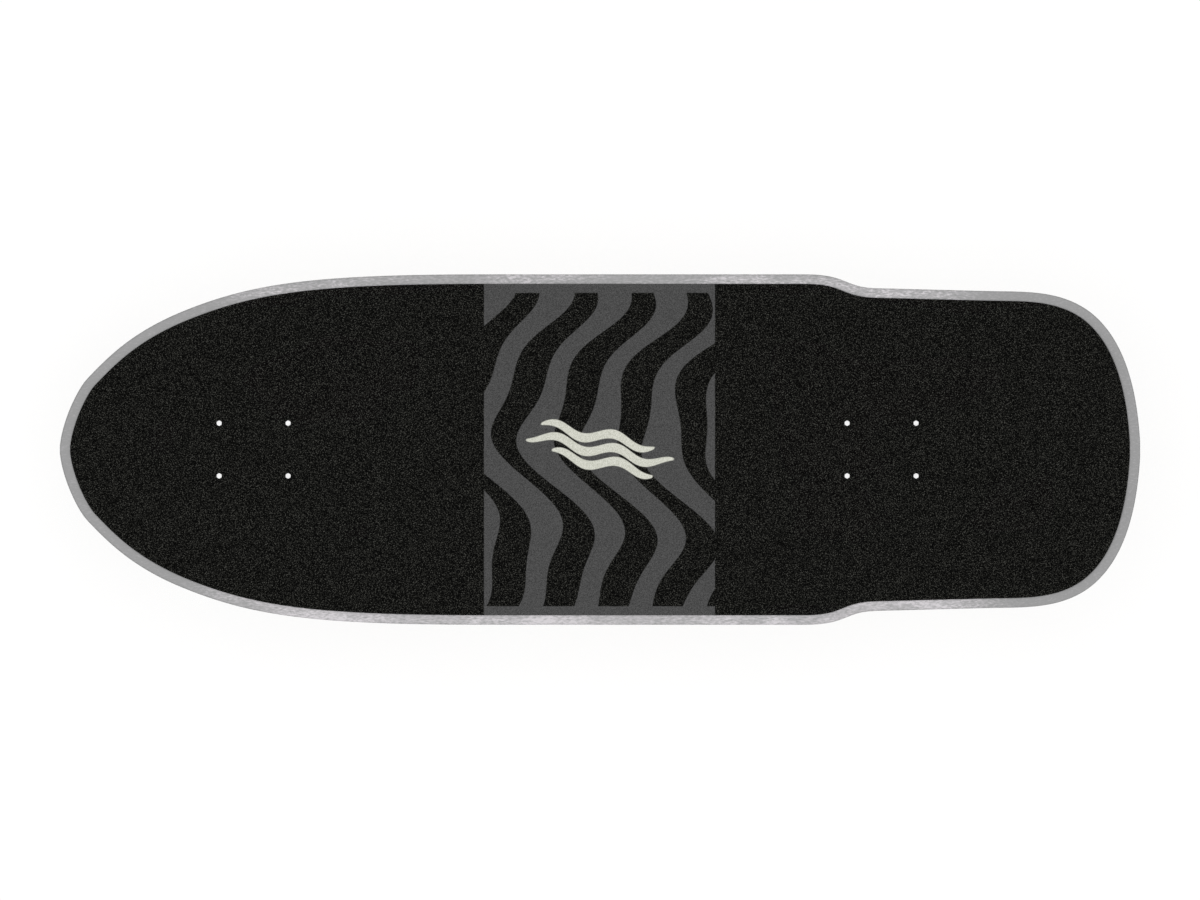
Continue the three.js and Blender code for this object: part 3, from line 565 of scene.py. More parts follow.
def rings_solid(name, rings):
    """Closes a stack of rings of points, each with as many points, into one solid."""
    count = len(rings[0])
    faces = [range(count), range((len(rings) - 1) * count, len(rings) * count)]
    for start in range(0, (len(rings) - 1) * count, count):
        for point in range(count):
            here = start + point
            beside = start + (point + 1) % count
            faces.append((here, beside, beside + count, here + count))
    return solid_piece(name, [point for ring in rings for point in ring], faces)


def grown_in(points, amount):
    """A ring of plane points drawn in by an amount."""
    moved = []
    for before, here, after in zip([points[-1], *points[:-1]], points, [*points[1:], points[0]]):
        along_edge = (after - before).normalized()
        moved.append(here + amount * Vector((-along_edge.y, along_edge.x)))
    return moved


def plate(name, low, high, bottom, top, steps):
    """A round-cornered plate whose edge follows steps of (share of its height, how far drawn in)."""
    outline = corner_outline(low, high, corner_radius)
    return rings_solid(name, [
        [Vector((*point, bottom + share * (top - bottom))) for point in grown_in(outline, inset)]
        for share, inset in steps
    ])


def join(first, *others):
    """Joins the meshes of some pieces into the first."""
    made = bmesh.new()
    for piece in (first, *others):
        made.from_mesh(piece.data)
    first.data = bpy.data.meshes.new(first.name)
    made.to_mesh(first.data)
    made.free()
    drop(*others)
    return first


def cut(piece, *cutters, operation="DIFFERENCE"):
    """Cuts pieces out of a piece, one after another."""
    for cutter in cutters:
        change = piece.modifiers.new("cut", "BOOLEAN")
        change.operation = operation
        change.solver = "MANIFOLD"
        change.object = cutter
    settle(piece)
    drop(*cutters)
    return piece


def rounded(profile, radius, steps):
    """A turned profile with its corners off the axis rounded."""
    softened = []
    for index, corner in enumerate(profile):
        here = Vector(corner)
        before = Vector(profile[index - 1]) - here
        after = Vector(profile[(index + 1) % len(profile)]) - here
        if here.x < 1e-7:
            softened.append(here)
            continue
        reach = min(radius, 0.45 * before.length, 0.45 * after.length)
        start = here + before.normalized() * reach
        end = here + after.normalized() * reach
        for step in range(steps + 1):
            t = step / steps
            softened.append(start * (1 - t) ** 2 + here * (2 * t * (1 - t)) + end * t ** 2)
    return softened


def threaded(radius, distance, share, start, end, pitch, depth):
    """The radius that a thread leaves there, at a share of the way round. It fades at its ends."""
    fade = min(1, 3 * (distance - start) / pitch, 3 * (end - distance) / pitch)
    turn = (distance / pitch - share) % 1
    return radius - depth * max(0, fade) * abs(2 * turn - 1)


def turned(name, profile, at, axis, sides=64, edge=0, edge_steps=3, thread=None):
    """Turns a profile of (radius, distance along the axis), with its corners rounded where an edge
    radius is given. Thread is (from, to, pitch, depth)."""
    profile = rounded(profile, edge, edge_steps) if edge else profile
    axis = Vector(axis).normalized()
    first = axis.cross(Vector((0, 0, 1)) if abs(axis.z) < 0.9 else Vector((1, 0, 0))).normalized()
    second = axis.cross(first)
    is_ring = profile[0][0] > 1e-7 or profile[-1][0] > 1e-7
    vertices = []
    starts = []
    for radius, distance in profile:
        starts.append(len(vertices))
        for side in range(1 if radius < 1e-7 else sides):
            angle = 2 * math.pi * side / sides
            reach = threaded(radius, distance, side / sides, *thread) if thread else radius
            spoke = math.cos(angle) * first + math.sin(angle) * second
            vertices.append(Vector(at) + distance * axis + reach * spoke)
    faces = []
    for index in range(len(profile) if is_ring else len(profile) - 1):
        after = (index + 1) % len(profile)
        for side in range(sides):
            beside = (side + 1) % sides
            here, there = starts[index], starts[after]
            if profile[index][0] < 1e-7:
                faces.append((here, there + side, there + beside))
            elif profile[after][0] < 1e-7:
                faces.append((here + side, there, here + beside))
            else:
                faces.append((here + side, there + side, there + beside, here + beside))
    return solid_piece(name, vertices, faces)


def stepped(start, *steps):
    """Profile points of a stepped shaft: by turns a radius, and the place where it ends."""
    points = []
    for radius, end in zip(steps[::2], steps[1::2]):
        points += [(radius, start), (radius, end)]
        start = end
    return points


def rod(radius, start, end, at, axis, sides=64, edge=0):
    return turned("rod", [(0, start), *stepped(start, radius, end), (0, end)], at, axis, sides, edge)


def pattern_drills(truck, bottom, top, from_x=0):
    """Drills for a truck's four bolts, in a frame whose middle is at a place along the board."""
    return [
        rod(bolt_hole_radius, bottom, top, (pattern_x[truck] - from_x + x, y, 0), upright, 32)
        for x in (-pattern_length / 2, pattern_length / 2) for y in (-pattern_width / 2, pattern_width / 2)
    ]


def rubber(name, colour, shine):
    """Moulded rubber: a dull skin with fine pits and a little dust."""
    finish = Finish(name, specular_ior_level=shine)
    pits = finish.noise(0.5 * MM, detail=3)
    dust = finish.noise(9 * MM, detail=4).spread(0.45, 0.75)
    pale = tuple(0.02 + 1.5 * channel for channel in colour)
    dusted = finish.blend(dust * 0.5 + pits * 0.2, colour, pale)
    return finish.done(dusted, pits.spread(0.3, 0.7, 0.6, 0.85), pits, 0.06 * MM, 0.5)


riser_rubber = rubber("black riser rubber", (0.012, 0.012, 0.012), 0.3)
for truck in trucks:
    low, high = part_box(f"{truck}_riser_pad")
    steps = [(0, pad_edge), (pad_edge_share, 0)]
    for groove in range(grooves[truck]):
        middle = (groove + 1) / (grooves[truck] + 1)
        steps += [(middle + away, inset) for away, inset in zip(groove_shares, (0, pad_edge, pad_edge, 0))]
    steps += [(1 - pad_edge_share, 0), (1, pad_edge)]
    pad = plate(f"{truck}_riser", low, high, low.z, high.z, steps)
    pad = cut(pad, *pattern_drills(truck, low.z - MM, high.z + MM))
    dress(pad, riser_rubber, "riser", "deck", f"{truck}_riser_pad")

# Truck bolts
# Eight M5 bolts in black oxide steel, with low round heads and white plastic caps pressed in
# their sockets. Each goes through deck, riser and truck into a lock nut with a nylon collar.

head_height = 1.3 * MM
socket_radius = 2.25 * MM
socket_depth = 0.9 * MM
shank_radius = 2.4 * MM
nut_radius = 4.7 * MM
nut_height = 5.5 * MM
bolt_end = 1 * MM
bolt_pitch = 0.8 * MM
bolt_thread = nut_height + 8 * MM
collar_share = 0.28

pattern_tree, given = new_tree("on the bolt pattern", Float=[
    "Pattern Length", "Pattern Width", "Pattern Place",
])
end_tree(pattern_tree, on_pattern(
    pattern_tree, given["Pattern Length"], given["Pattern Width"],
    [vector_of(pattern_tree, given["Pattern Place"], 0, 0)], given["Geometry"],
), given)


def steel(name, dark, light, metallic, rough):
    """Finished steel: fine machining marks and a cloudy plating or oxide."""
    finish = Finish(name, metallic=metallic, specular_ior_level=0.5)
    marks = finish.noise(0.4 * MM, detail=2)
    cloud = finish.noise(6 * MM, detail=2)
    colour = finish.blend((cloud * 0.95 + marks * 0.15).spread(0.35, 0.75), dark, light)
    dulled = (cloud * 0.8 + marks * 0.2).spread(0.3, 0.7, rough - 0.08, rough + 0.1)
    return finish.done(colour, dulled, marks, 0.01 * MM, 0.3)


def plastic(name, colour, rough):
    """Moulded plastic: an even colour with a faint cloud, and a fine skin."""
    finish = Finish(name, specular_ior_level=0.4)
    cloud = finish.noise(4 * MM, detail=3)
    clouded = finish.blend(cloud.spread(0.3, 0.75), colour, tuple(0.86 * channel for channel in colour))
    dulled = cloud.spread(0.3, 0.7, rough - 0.05, rough + 0.08)
    return finish.done(clouded, dulled, finish.noise(0.6 * MM), 0.02 * MM, 0.4)


def blackened_head():
    """Bolt heads painted as black as the grip sheet, and as matt."""
    finish = Finish("matt black bolt paint", specular_ior_level=0.05)
    # The paint carries the grip's painted glints on its grains and painted shade between them.
    grit, black = grit_black(finish)
    return finish.done(black, grit.spread(0.3, 0.7, 0.8, 0.95), grit, 0.03 * MM, 0.4)


black_oxide = steel("black oxide steel", (0.009, 0.009, 0.01), (0.022, 0.022, 0.024), 0.6, 0.48)
bolt_black = blackened_head()
zinc = steel("zinc plated steel", (0.42, 0.42, 0.44), (0.6, 0.6, 0.61), 1.0, 0.3)
white_plastic = plastic("white cap plastic", (0.98, 0.98, 0.98), 0.6)
nylon = plastic("nylon collar", (0.74, 0.76, 0.78), 0.4)


def hexagon(name, radius, start, end, at, axis, chamfer):
    """A hexagonal bar with its corners turned off at the far end."""
    bar = rod(radius, start, end, at, axis, 6)
    bar.name = name
    return cut(bar, turned("turned_off", [
        (0, start - MM), (1.2 * radius, start - MM), (1.2 * radius, end - 1.6 * chamfer),
        (0.86 * radius, end), (0, end),
    ], at, axis, 48), operation="INTERSECT")


def lock_nut(name, radius, start, end, at, axis, bore):
    """A hexagon lock nut, and the nylon collar in its far end."""
    collar_from = end - collar_share * (end - start)
    crown_from = collar_from - 0.1 * MM
    seat_from = collar_from + 0.25 * MM
    body = cut(hexagon(name, radius, start, collar_from, at, axis, 0.12 * radius), turned("crown", [
        (0, crown_from), (0.8 * radius, crown_from), (0.78 * radius, end), (0, end),
    ], at, axis, 48, 0.08 * radius), operation="UNION")
    body = cut(
        body, rod(bore, start - MM, end + MM, at, axis, 48),
        rod(0.66 * radius, collar_from + 0.2 * MM, end + MM, at, axis, 48),
    )
    seat = stepped(seat_from, 0.655 * radius, end - 0.15 * MM, bore, seat_from)
    return body, turned(f"{name}_collar", seat, at, axis, 48, 0.1 * MM)


def thread_points(radius, start, end, pitch, rings=8):
    """Profile points that lie close enough together for a thread to be cut in them."""
    step = pitch / rings
    return [(radius, start + index * step) for index in range(int((end - start) / step))]


for truck in trucks:
    box_low, box_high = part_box(bolt_nodes(truck)[0])
    head_top = box_high.z
    head_under = head_top - head_height
    shank_end = box_low.z
    nut_top = shank_end + bolt_end + nut_height
    thread_from = shank_end + 0.3 * MM
    bolt = turned("bolt", [
        (0, shank_end), (shank_radius - 0.4 * MM, shank_end),
        *thread_points(shank_radius, thread_from, thread_from + bolt_thread, bolt_pitch, 4),
        (shank_radius, head_under), (head_radius - 0.1 * MM, head_under),
        (head_radius, head_under + 0.3 * MM), (head_radius - 0.35 * MM, head_top - 0.25 * MM),
        (head_radius - 0.9 * MM, head_top), (0, head_top),
    ], (0, 0, 0), upright, 32, thread=(shank_end + 0.2 * MM, shank_end + bolt_thread, bolt_pitch, 0.3 * MM))
    bolt = cut(bolt, rod(socket_radius, head_top - socket_depth, head_top + MM, (0, 0, 0), upright, 6))
    nut, collar = lock_nut(
        "nut", nut_radius, -nut_top, -nut_top + nut_height, (0, 0, 0), (0, 0, -1), shank_radius + 0.05 * MM,
    )
    cap = turned("cap", [
        (0, head_top - socket_depth), (1.9 * MM, head_top - socket_depth),
        (2.15 * MM, head_top - 0.1 * MM), (0, head_top),
    ], (0, 0, 0), upright, 32, 0.2 * MM)
    for part, name, material, slot, nodes in (
        (bolt, "bolts", bolt_black, "black_steel", bolt_nodes(truck)), (nut, "bolt_nuts", zinc, "steel", []),
        (collar, "bolt_nut_collars", nylon, "bushing", []), (cap, "bolt_caps", white_plastic, "bushing", []),
    ):
        copies = grow(
            f"{truck}_{name}", pattern_tree, part.data, pattern_length=pattern_length,
            pattern_width=pattern_width, pattern_place=pattern_x[truck], material=material,
        )
        drop(part)
        dress(copies, material, slot, "deck", *nodes)

# Front base
# Cast aluminium plate, bolted under the deck, with a round boss that the swing arm turns
# against. The face of the boss and the king bolt's bore are machined.

arm_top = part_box("front_swing_arm")[1].z
swivel_at = Vector((middle_of("king_bolt").x, 0, 0))
boss_radius = 14 * MM
king_radius = 6 * MM
king_head_radius = 10 * MM
king_head_height = 6 * MM
bore_gap = 0.3 * MM
base_plate_height = 8 * MM
base_low, base_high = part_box("front_base")
base_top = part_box("front_riser_pad")[0].z - glue_line
base_bottom = base_top - base_plate_height
plate_edge_steps = [
    (0, 1.6 * MM), (0.06, 0.8 * MM), (0.16, 0.2 * MM), (0.26, 0), (0.86, 0), (0.94, 0.25 * MM),
    (1, 0.9 * MM),
]


def cast_aluminium():
    """Tumbled casting: a fine sandy skin, cloudy grey, with painted shade that darkens small pits."""
    finish = Finish("tumbled cast aluminium", metallic=0.9, specular_ior_level=0.5)
    skin = finish.noise(0.7 * MM, detail=4, rough=0.6)
    cloud = finish.noise(12 * MM, detail=4)
    # Painted shade: where this fine noise is low, the colour is painted darker, as shade in pits.
    pits = finish.noise(0.35 * MM, detail=2).spread(0.34, 0.46, 0, 1)
    share = (skin * 0.5 + cloud * 0.6).spread(0.35, 0.8) * pits
    colour = finish.blend(share, (0.27, 0.275, 0.285), (0.46, 0.465, 0.475))
    dulled = (skin * 0.6 + cloud * 0.5).spread(0.3, 0.8, 0.36, 0.56)
    return finish.done(colour, dulled, skin, 0.07 * MM, 0.55)


aluminium = cast_aluminium()
base = plate("swivel_base", base_low, base_high, base_bottom, base_top, plate_edge_steps)
base = cut(base, turned("boss", [
    (0, base_low.z), (boss_radius - 0.5 * MM, base_low.z), (boss_radius, base_low.z + 0.5 * MM),
    (boss_radius, base_low.z + 3.5 * MM), (boss_radius + 0.8 * MM, base_low.z + 5.2 * MM),
    (boss_radius + 3 * MM, base_bottom + 0.1 * MM), (boss_radius + 3 * MM, base_bottom + 2 * MM),
    (0, base_bottom + 2 * MM),
], swivel_at, upright, 96), operation="UNION")
head_pocket_from = base_top - king_head_height - 0.1 * MM
base = cut(
    base, *pattern_drills("front", base_bottom - MM, base_top + MM),
    rod(king_radius + bore_gap, base_low.z - MM, base_top + MM, swivel_at, upright),
    rod(king_head_radius + bore_gap, head_pocket_from, base_top + MM, swivel_at, upright),
)
dress(base, aluminium, "cast_aluminium", "deck", "front_base")

# King bolt and its nut
# The bolt that the whole front truck swings on, dropped through the base from above. Its flange
# nut below carries the centring spring and is run up until the arm turns freely without play.

king_low, king_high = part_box("king_bolt")
king_pitch = 1.5 * MM
king_thread_length = 18 * MM
king_thread_to = king_low.z + king_thread_length
king_bolt = turned("swivel_bolt", [
    (0, king_low.z), (king_radius - 1.2 * MM, king_low.z),
    *thread_points(king_radius, king_low.z + 1.2 * MM, king_thread_to, king_pitch),
    (king_radius, king_high.z - king_head_height), (king_head_radius, king_high.z - king_head_height),
    (king_head_radius, king_high.z - 0.8 * MM), (king_head_radius - 0.8 * MM, king_high.z), (0, king_high.z),
], swivel_at, upright, thread=(king_low.z + 0.6 * MM, king_thread_to, king_pitch, 0.7 * MM))
dress(king_bolt, black_oxide, "black_steel", "deck", "king_bolt")

nut_low, nut_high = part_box("king_nut")
king_nut_radius = 9.5 * MM
flange_height = 2.5 * MM
flange_radius = nut_high.y
down = (0, 0, -1)
king_nut = hexagon(
    "swivel_nut", king_nut_radius, -nut_high.z + 0.5 * MM, -nut_low.z, swivel_at, down, 1 * MM,
)
king_nut = cut(king_nut, turned("flange", [
    (0, -nut_high.z), (flange_radius, -nut_high.z), (flange_radius, -nut_high.z + 0.7 * flange_height),
    (king_nut_radius, -nut_high.z + flange_height), (0, -nut_high.z + flange_height),
], swivel_at, down, 96, 0.4 * MM), operation="UNION")
king_nut = cut(king_nut, rod(king_radius + bore_gap, -nut_high.z - MM, -nut_low.z + MM, swivel_at, down))
dress(king_nut, zinc, "steel", "deck", "king_nut")

# Thrust washer
# A hardened steel washer between the boss and the arm, greased, so that the arm turns on steel
# and not on the casting.

washer_low, washer_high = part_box("thrust_washer")
thrust_washer = turned("swivel_thrust_washer", stepped(
    washer_low.z, boss_radius, washer_high.z, king_radius + bore_gap, washer_low.z,
), swivel_at, upright, 96, 0.3 * MM)
dress(thrust_washer, zinc, "steel", "deck", "thrust_washer")

# Swing arm
# The front truck's body, cast in aluminium: a ring round the king bolt, the block with the
# slanted kingpin seat, and the leg with the socket for the hanger's pivot.

rake = 16 * MM
pivot_reach = 26 * MM
ring_reach = 22 * MM
ring_radius = 19 * MM
ring_thickness = 10 * MM
ring_bore = 7.5 * MM
axle_height = middle_of("rear_axle").z
steering_axis = Vector((1, 0, 1)).normalized()
kingpin_axis = Vector((1, 0, -1)).normalized()
turned_gap = 0.3 * MM
boardside_length = 14 * MM
roadside_length = 12 * MM
cup_thickness = 1.5 * MM
kingpin_radius = 4.75 * MM
kingpin_head_radius = 7.5 * MM
kingpin_head_height = 6 * MM
kingpin_nut_radius = 8.2 * MM
kingpin_nut_height = 7 * MM
seat_wall = 10 * MM
seat_half_length = 14 * MM
seat_radius_milled = 15.5 * MM
block_half_width = 14.5 * MM
block_wall = 5 * MM
leg_half_width = 11 * MM
leg_back = 39.5 * MM
leg_waist_rise = 18 * MM
leg_overlap = 2 * MM
socket_outer_radius = 10 * MM
socket_rim = 4 * MM
socket_length = 12 * MM
cup_wall = 2 * MM
pivot_radius = 5.5 * MM
swivel_offset = 54 * MM
arm_ring_radius = 17 * MM
arm_ring_height = 23.5 * MM
recess_depth = 3 * MM
cast_grain = 0.75 * MM
cast_rounds = 9
cast_crease = 38
sideways = (0, 1, 0)


def in_truck(along_steering, down_kingpin):
    """A place in the truck's own frame: the middle of the axle is at x = 0, and outward is +X."""
    return Vector((0, 0, axle_height)) + along_steering * steering_axis + down_kingpin * kingpin_axis


def to_board(truck):
    """Carries the truck's own frame to the board."""
    turn = math.pi if truck == "front" else 0
    place = Vector((middle_of(f"{truck}_axle").x, 0, 0))
    return Matrix.Translation(place) @ Matrix.Rotation(turn, 4, "Z")


def carried(piece, matrix):
    piece.data.transform(matrix)
    return piece


ring_centre = in_truck(ring_reach, -rake)
steering_foot = in_truck(0, -rake)
boardside_end = -ring_thickness / 2 - turned_gap
boardside_top = boardside_end - boardside_length
boardside_cup_top = boardside_top - turned_gap - cup_thickness
seat_face = boardside_cup_top - turned_gap
head_seat = seat_face - seat_wall
roadside_start = ring_thickness / 2 + turned_gap
roadside_end = roadside_start + roadside_length
roadside_cup_end = roadside_end + turned_gap + cup_thickness
kingpin_nut_end = roadside_cup_end + turned_gap + kingpin_nut_height


def upright_slab(name, points, half):
    """A slab from an outline in the upright plane along the board, to both sides of its middle."""
    return rings_solid(name, [[Vector((x, y, z)) for x, z in points] for y in (-half, half)])


def at_profile(along_steering, down_kingpin):
    place = in_truck(along_steering, down_kingpin)
    return place.x, place.z


def melt(piece, rounds):
    """Eases the edges of a piece's overlapping solids and melts them into one casting."""
    for name, kind, settings in (
        ("ease", "BEVEL", {"width": 1.5 * MM, "segments": 3, "angle_limit": math.radians(35)}),
        ("melt", "REMESH", {"mode": "VOXEL", "voxel_size": cast_grain}),
        ("soften", "SMOOTH", {"factor": 0.5, "iterations": rounds}),
    ):
        modifier = piece.modifiers.new(name, kind)
        for setting, value in settings.items():
            setattr(modifier, setting, value)
    return settle(piece)


def seat_block():
    """The block with the slanted seat, hollowed at its sides, and the leg with the socket."""
    outer_x, outer_z = at_profile(ring_reach + seat_half_length, seat_face - rake)
    inner_x, inner_z = at_profile(ring_reach - seat_half_length, seat_face - rake)
    block_solid = upright_slab("block", [
        (-leg_back, arm_top), (-leg_back, inner_z), (inner_x, inner_z), (outer_x, outer_z),
        (outer_x, arm_top),
    ], block_half_width)
    hollow_back = -leg_back + block_wall
    hollow_top = arm_top - 1.6 * block_wall
    hollow = [
        (hollow_back, hollow_top), (hollow_back, inner_z + block_wall),
        (inner_x - 0.6 * block_wall, inner_z + block_wall), (outer_x - 1.9 * block_wall, hollow_top),
    ]
    for side in (-1, 1):
        recess = upright_slab("recess", hollow, recess_depth)
        block_solid = cut(block_solid, carried(recess, Matrix.Translation((0, side * block_half_width, 0))))
    leg = upright_slab("leg", [
        (-leg_back, inner_z + leg_overlap), (-leg_back, axle_height + leg_waist_rise),
        at_profile(-pivot_reach - socket_length, -rake - socket_outer_radius / 2),
        at_profile(-pivot_reach + socket_rim, -rake - socket_outer_radius + leg_overlap),
        at_profile(-pivot_reach + socket_rim, -rake - socket_outer_radius),
        (inner_x, inner_z), (inner_x, inner_z + leg_overlap),
    ], leg_half_width)
    socket = rod(
        socket_outer_radius, -pivot_reach - socket_length, -pivot_reach + socket_rim, steering_foot,
        steering_axis, edge=1.5 * MM,
    )
    return [block_solid, leg, socket]


def seat_cutters(top):
    """The kingpin's bore, the pocket for its head, its milled seat and the pivot cup's socket."""
    reach = kingpin_head_radius + bore_gap
    inner = at_profile(ring_reach - reach, head_seat - rake)
    outer = at_profile(ring_reach + reach, head_seat - rake)
    back = at_profile(ring_reach - reach, head_seat - rake - kingpin_head_height - 2 * turned_gap)
    cup_bottom = -pivot_reach - pivot_radius - cup_wall - 2 * turned_gap
    return [
        rod(kingpin_radius + bore_gap, head_seat - MM, seat_face + 3 * MM, ring_centre, kingpin_axis),
        upright_slab("pocket", [inner, outer, (outer[0], top), (back[0], top), back], reach),
        rod(seat_radius_milled, seat_face - 0.05 * MM, seat_face + 4 * MM, ring_centre, kingpin_axis),
        rod(
            pivot_radius + bore_gap + cup_wall + bore_gap, cup_bottom, -pivot_reach + socket_rim + 2 * MM,
            steering_foot, steering_axis,
        ),
    ]


arm_pivot = Vector((-swivel_offset, 0, 0))
arm_bottom = arm_top - arm_ring_height
bridge_end = -leg_back + 2 * MM
arm_ring = rod(arm_ring_radius, arm_bottom, arm_top, arm_pivot, upright, 96)
arm_bridge = upright_slab("arm_bridge", [
    (-swivel_offset, arm_bottom), (bridge_end, arm_bottom), (bridge_end, arm_top), (-swivel_offset, arm_top),
], block_half_width)
arm = melt(join(*seat_block(), arm_ring, arm_bridge), cast_rounds)
arm = cut(
    arm, *seat_cutters(arm_top + 10 * MM),
    rod(king_radius + bore_gap, arm_bottom - MM, arm_top + MM, arm_pivot, upright),
)
arm.name = "cast_swing_arm"
dress(
    carried(arm, to_board("front")), aluminium, "cast_aluminium", "front_arm", "front_swing_arm",
    degrees=cast_crease,
)

# Centring spring
# A coil of oiled spring steel round the king bolt, closed at both ends, squeezed between the
# arm's ring and the flange nut. It brings the arm back to straight.

spring_low, spring_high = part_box("centring_spring")
wire_radius = 1.8 * MM
spring_radius = 11 * MM
spring_turns = 4.5
wire_points = 260
wire_sides = 20
end_flatness = 0.24

spring_tree, given = new_tree("coil spring", Float=[
    "Turns", "Coil Radius", "Wire Radius", "Bottom", "Top", "Flatness",
], Vector=["Centre"])
line = add(spring_tree, "GeometryNodeCurvePrimitiveLine")
wire = add(spring_tree, "GeometryNodeResampleCurve", {"Curve": line, "Count": wire_points})
share = Number(spring_tree, add(spring_tree, "GeometryNodeSplineParameter", output="Factor"))
turn = share * given["Turns"] * (2 * math.pi)
low_middle = given["Bottom"] + given["Wire Radius"]
rise = given["Top"] - given["Wire Radius"] - low_middle
climbed = share - (share * (2 * math.pi)).sine() * given["Flatness"] / (2 * math.pi)
coil = vector_of(
    spring_tree, turn.cosine() * given["Coil Radius"], turn.sine() * given["Coil Radius"],
    climbed * rise + low_middle,
)
coil_place = add(spring_tree, "ShaderNodeVectorMath", {0: coil, 1: given["Centre"]}, operation="ADD")
coiled = add(spring_tree, "GeometryNodeSetPosition", {"Geometry": wire, "Position": coil_place})
wire_section = add(spring_tree, "GeometryNodeCurvePrimitiveCircle", {
    "Resolution": wire_sides, "Radius": given["Wire Radius"],
})
drawn = add(spring_tree, "GeometryNodeCurveToMesh", {
    "Curve": coiled, "Profile Curve": wire_section, "Fill Caps": True,
})
end_tree(spring_tree, drawn, given)
spring_steel = steel("oiled spring steel", (0.2, 0.21, 0.23), (0.36, 0.37, 0.4), 1.0, 0.28)
spring = grow(
    "coil_spring", spring_tree, turns=spring_turns, coil_radius=spring_radius, wire_radius=wire_radius,
    bottom=spring_low.z, top=spring_high.z, flatness=end_flatness, centre=swivel_at, material=spring_steel,
)
dress(spring, spring_steel, "spring_steel", "front_arm", "centring_spring")

# Rear baseplate
# One aluminium casting: the flat plate that is bolted under the rear riser, the block with the
# slanted kingpin seat, and the leg with the pivot's socket.

rear_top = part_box("rear_baseplate")[1].z
rear_matrix = to_board("rear")
plate_low, plate_high = [corner - rear_matrix.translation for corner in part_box("rear_riser_pad")]
rear_plate = cut(
    plate("cast_baseplate", plate_low, plate_high, arm_top, rear_top, plate_edge_steps),
    melt(join(*seat_block()), cast_rounds), operation="UNION",
)
rear_plate = cut(
    rear_plate, *seat_cutters(rear_top + 2 * MM),
    *pattern_drills("rear", arm_top - 2 * MM, rear_top + MM, rear_matrix.translation.x),
)
dress(
    carried(rear_plate, rear_matrix), aluminium, "cast_aluminium", "deck", "rear_baseplate",
    degrees=cast_crease,
)

# Kingpin, bushings, cups and pivot
# On each truck a black steel kingpin holds the hanger's ring between two cast urethane bushings
# in dished washers, drawn up by a lock nut. The hanger's nose turns in a urethane pivot cup.

carriers = {"front": "front_arm", "rear": "deck"}
boardside_radius = 12.5 * MM
roadside_radius = 11.5 * MM
roadside_end_radius = 9.5 * MM
boardside_cup_radius = 13 * MM
roadside_cup_radius = 11.5 * MM
kingpin_pitch = 1.06 * MM
kingpin_tip = kingpin_nut_end + 2 * MM
kingpin_head_end = head_seat - turned_gap
kingpin_top = kingpin_head_end - kingpin_head_height
wide_bore = kingpin_radius + 2 * MM
narrow_bore = kingpin_radius + bore_gap
cup_inner = pivot_radius + bore_gap
cup_floor = -pivot_reach - pivot_radius - turned_gap
cup_rim = -pivot_reach + socket_rim


def urethane(name, light, dark):
    """Cast urethane: waxy, faintly cloudy, and a little clear in its skin."""
    finish = Finish(name, specular_ior_level=0.35, subsurface_weight=0.12, subsurface_scale=2 * MM)
    cloud = finish.noise(7 * MM, detail=4)
    specks = finish.noise(0.45 * MM, detail=2).spread(0.66, 0.76)
    colour = finish.blend(cloud.spread(0.35, 0.75) * 0.6 + specks * 0.5, light, dark)
    return finish.done(colour, cloud.spread(0.3, 0.7, 0.38, 0.5), finish.noise(0.8 * MM), 0.03 * MM, 0.35)


bushing_urethane = urethane("cream bushing urethane", (0.8, 0.75, 0.62), (0.68, 0.62, 0.48))
cup_urethane = urethane("black pivot urethane", (0.02, 0.02, 0.02), (0.035, 0.035, 0.035))


def stack_piece(truck, name, profile, edge=0, thread=None):
    """A piece turned round the kingpin, in its place on the board."""
    piece = turned(f"{truck}_{name}", profile, ring_centre, kingpin_axis, 72, edge, thread=thread)
    return carried(piece, to_board(truck))


def cup_washer(truck, name, start, lip_towards, radius):
    """A dished washer: its rim is turned towards the bushing that it holds."""
    near, far = (start, start + cup_thickness)[::lip_towards]
    dish = 0.8 * MM * lip_towards
    piece = stack_piece(truck, name, [
        (narrow_bore, near), (0.74 * radius, near), (radius, near + dish * 0.5), (radius, far),
        (radius - 0.9 * MM, far), (0.78 * radius, far - dish * 0.4), (narrow_bore, far - dish * 0.4),
    ], 0.2 * MM)
    dress(piece, zinc, "steel", carriers[truck], f"{truck}_{name.replace('dished', 'cup')}")


def bushing(truck, name, profile):
    """Urethane between the fixed cup and the hanger's ring. It is baked where it stands and hangs on no
    body.
    """
    piece = stack_piece(truck, name, profile, 0.9 * MM)
    dress(piece, bushing_urethane, "bushing", None, f"{truck}_{name.replace('urethane', 'bushing')}")
    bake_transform(piece)


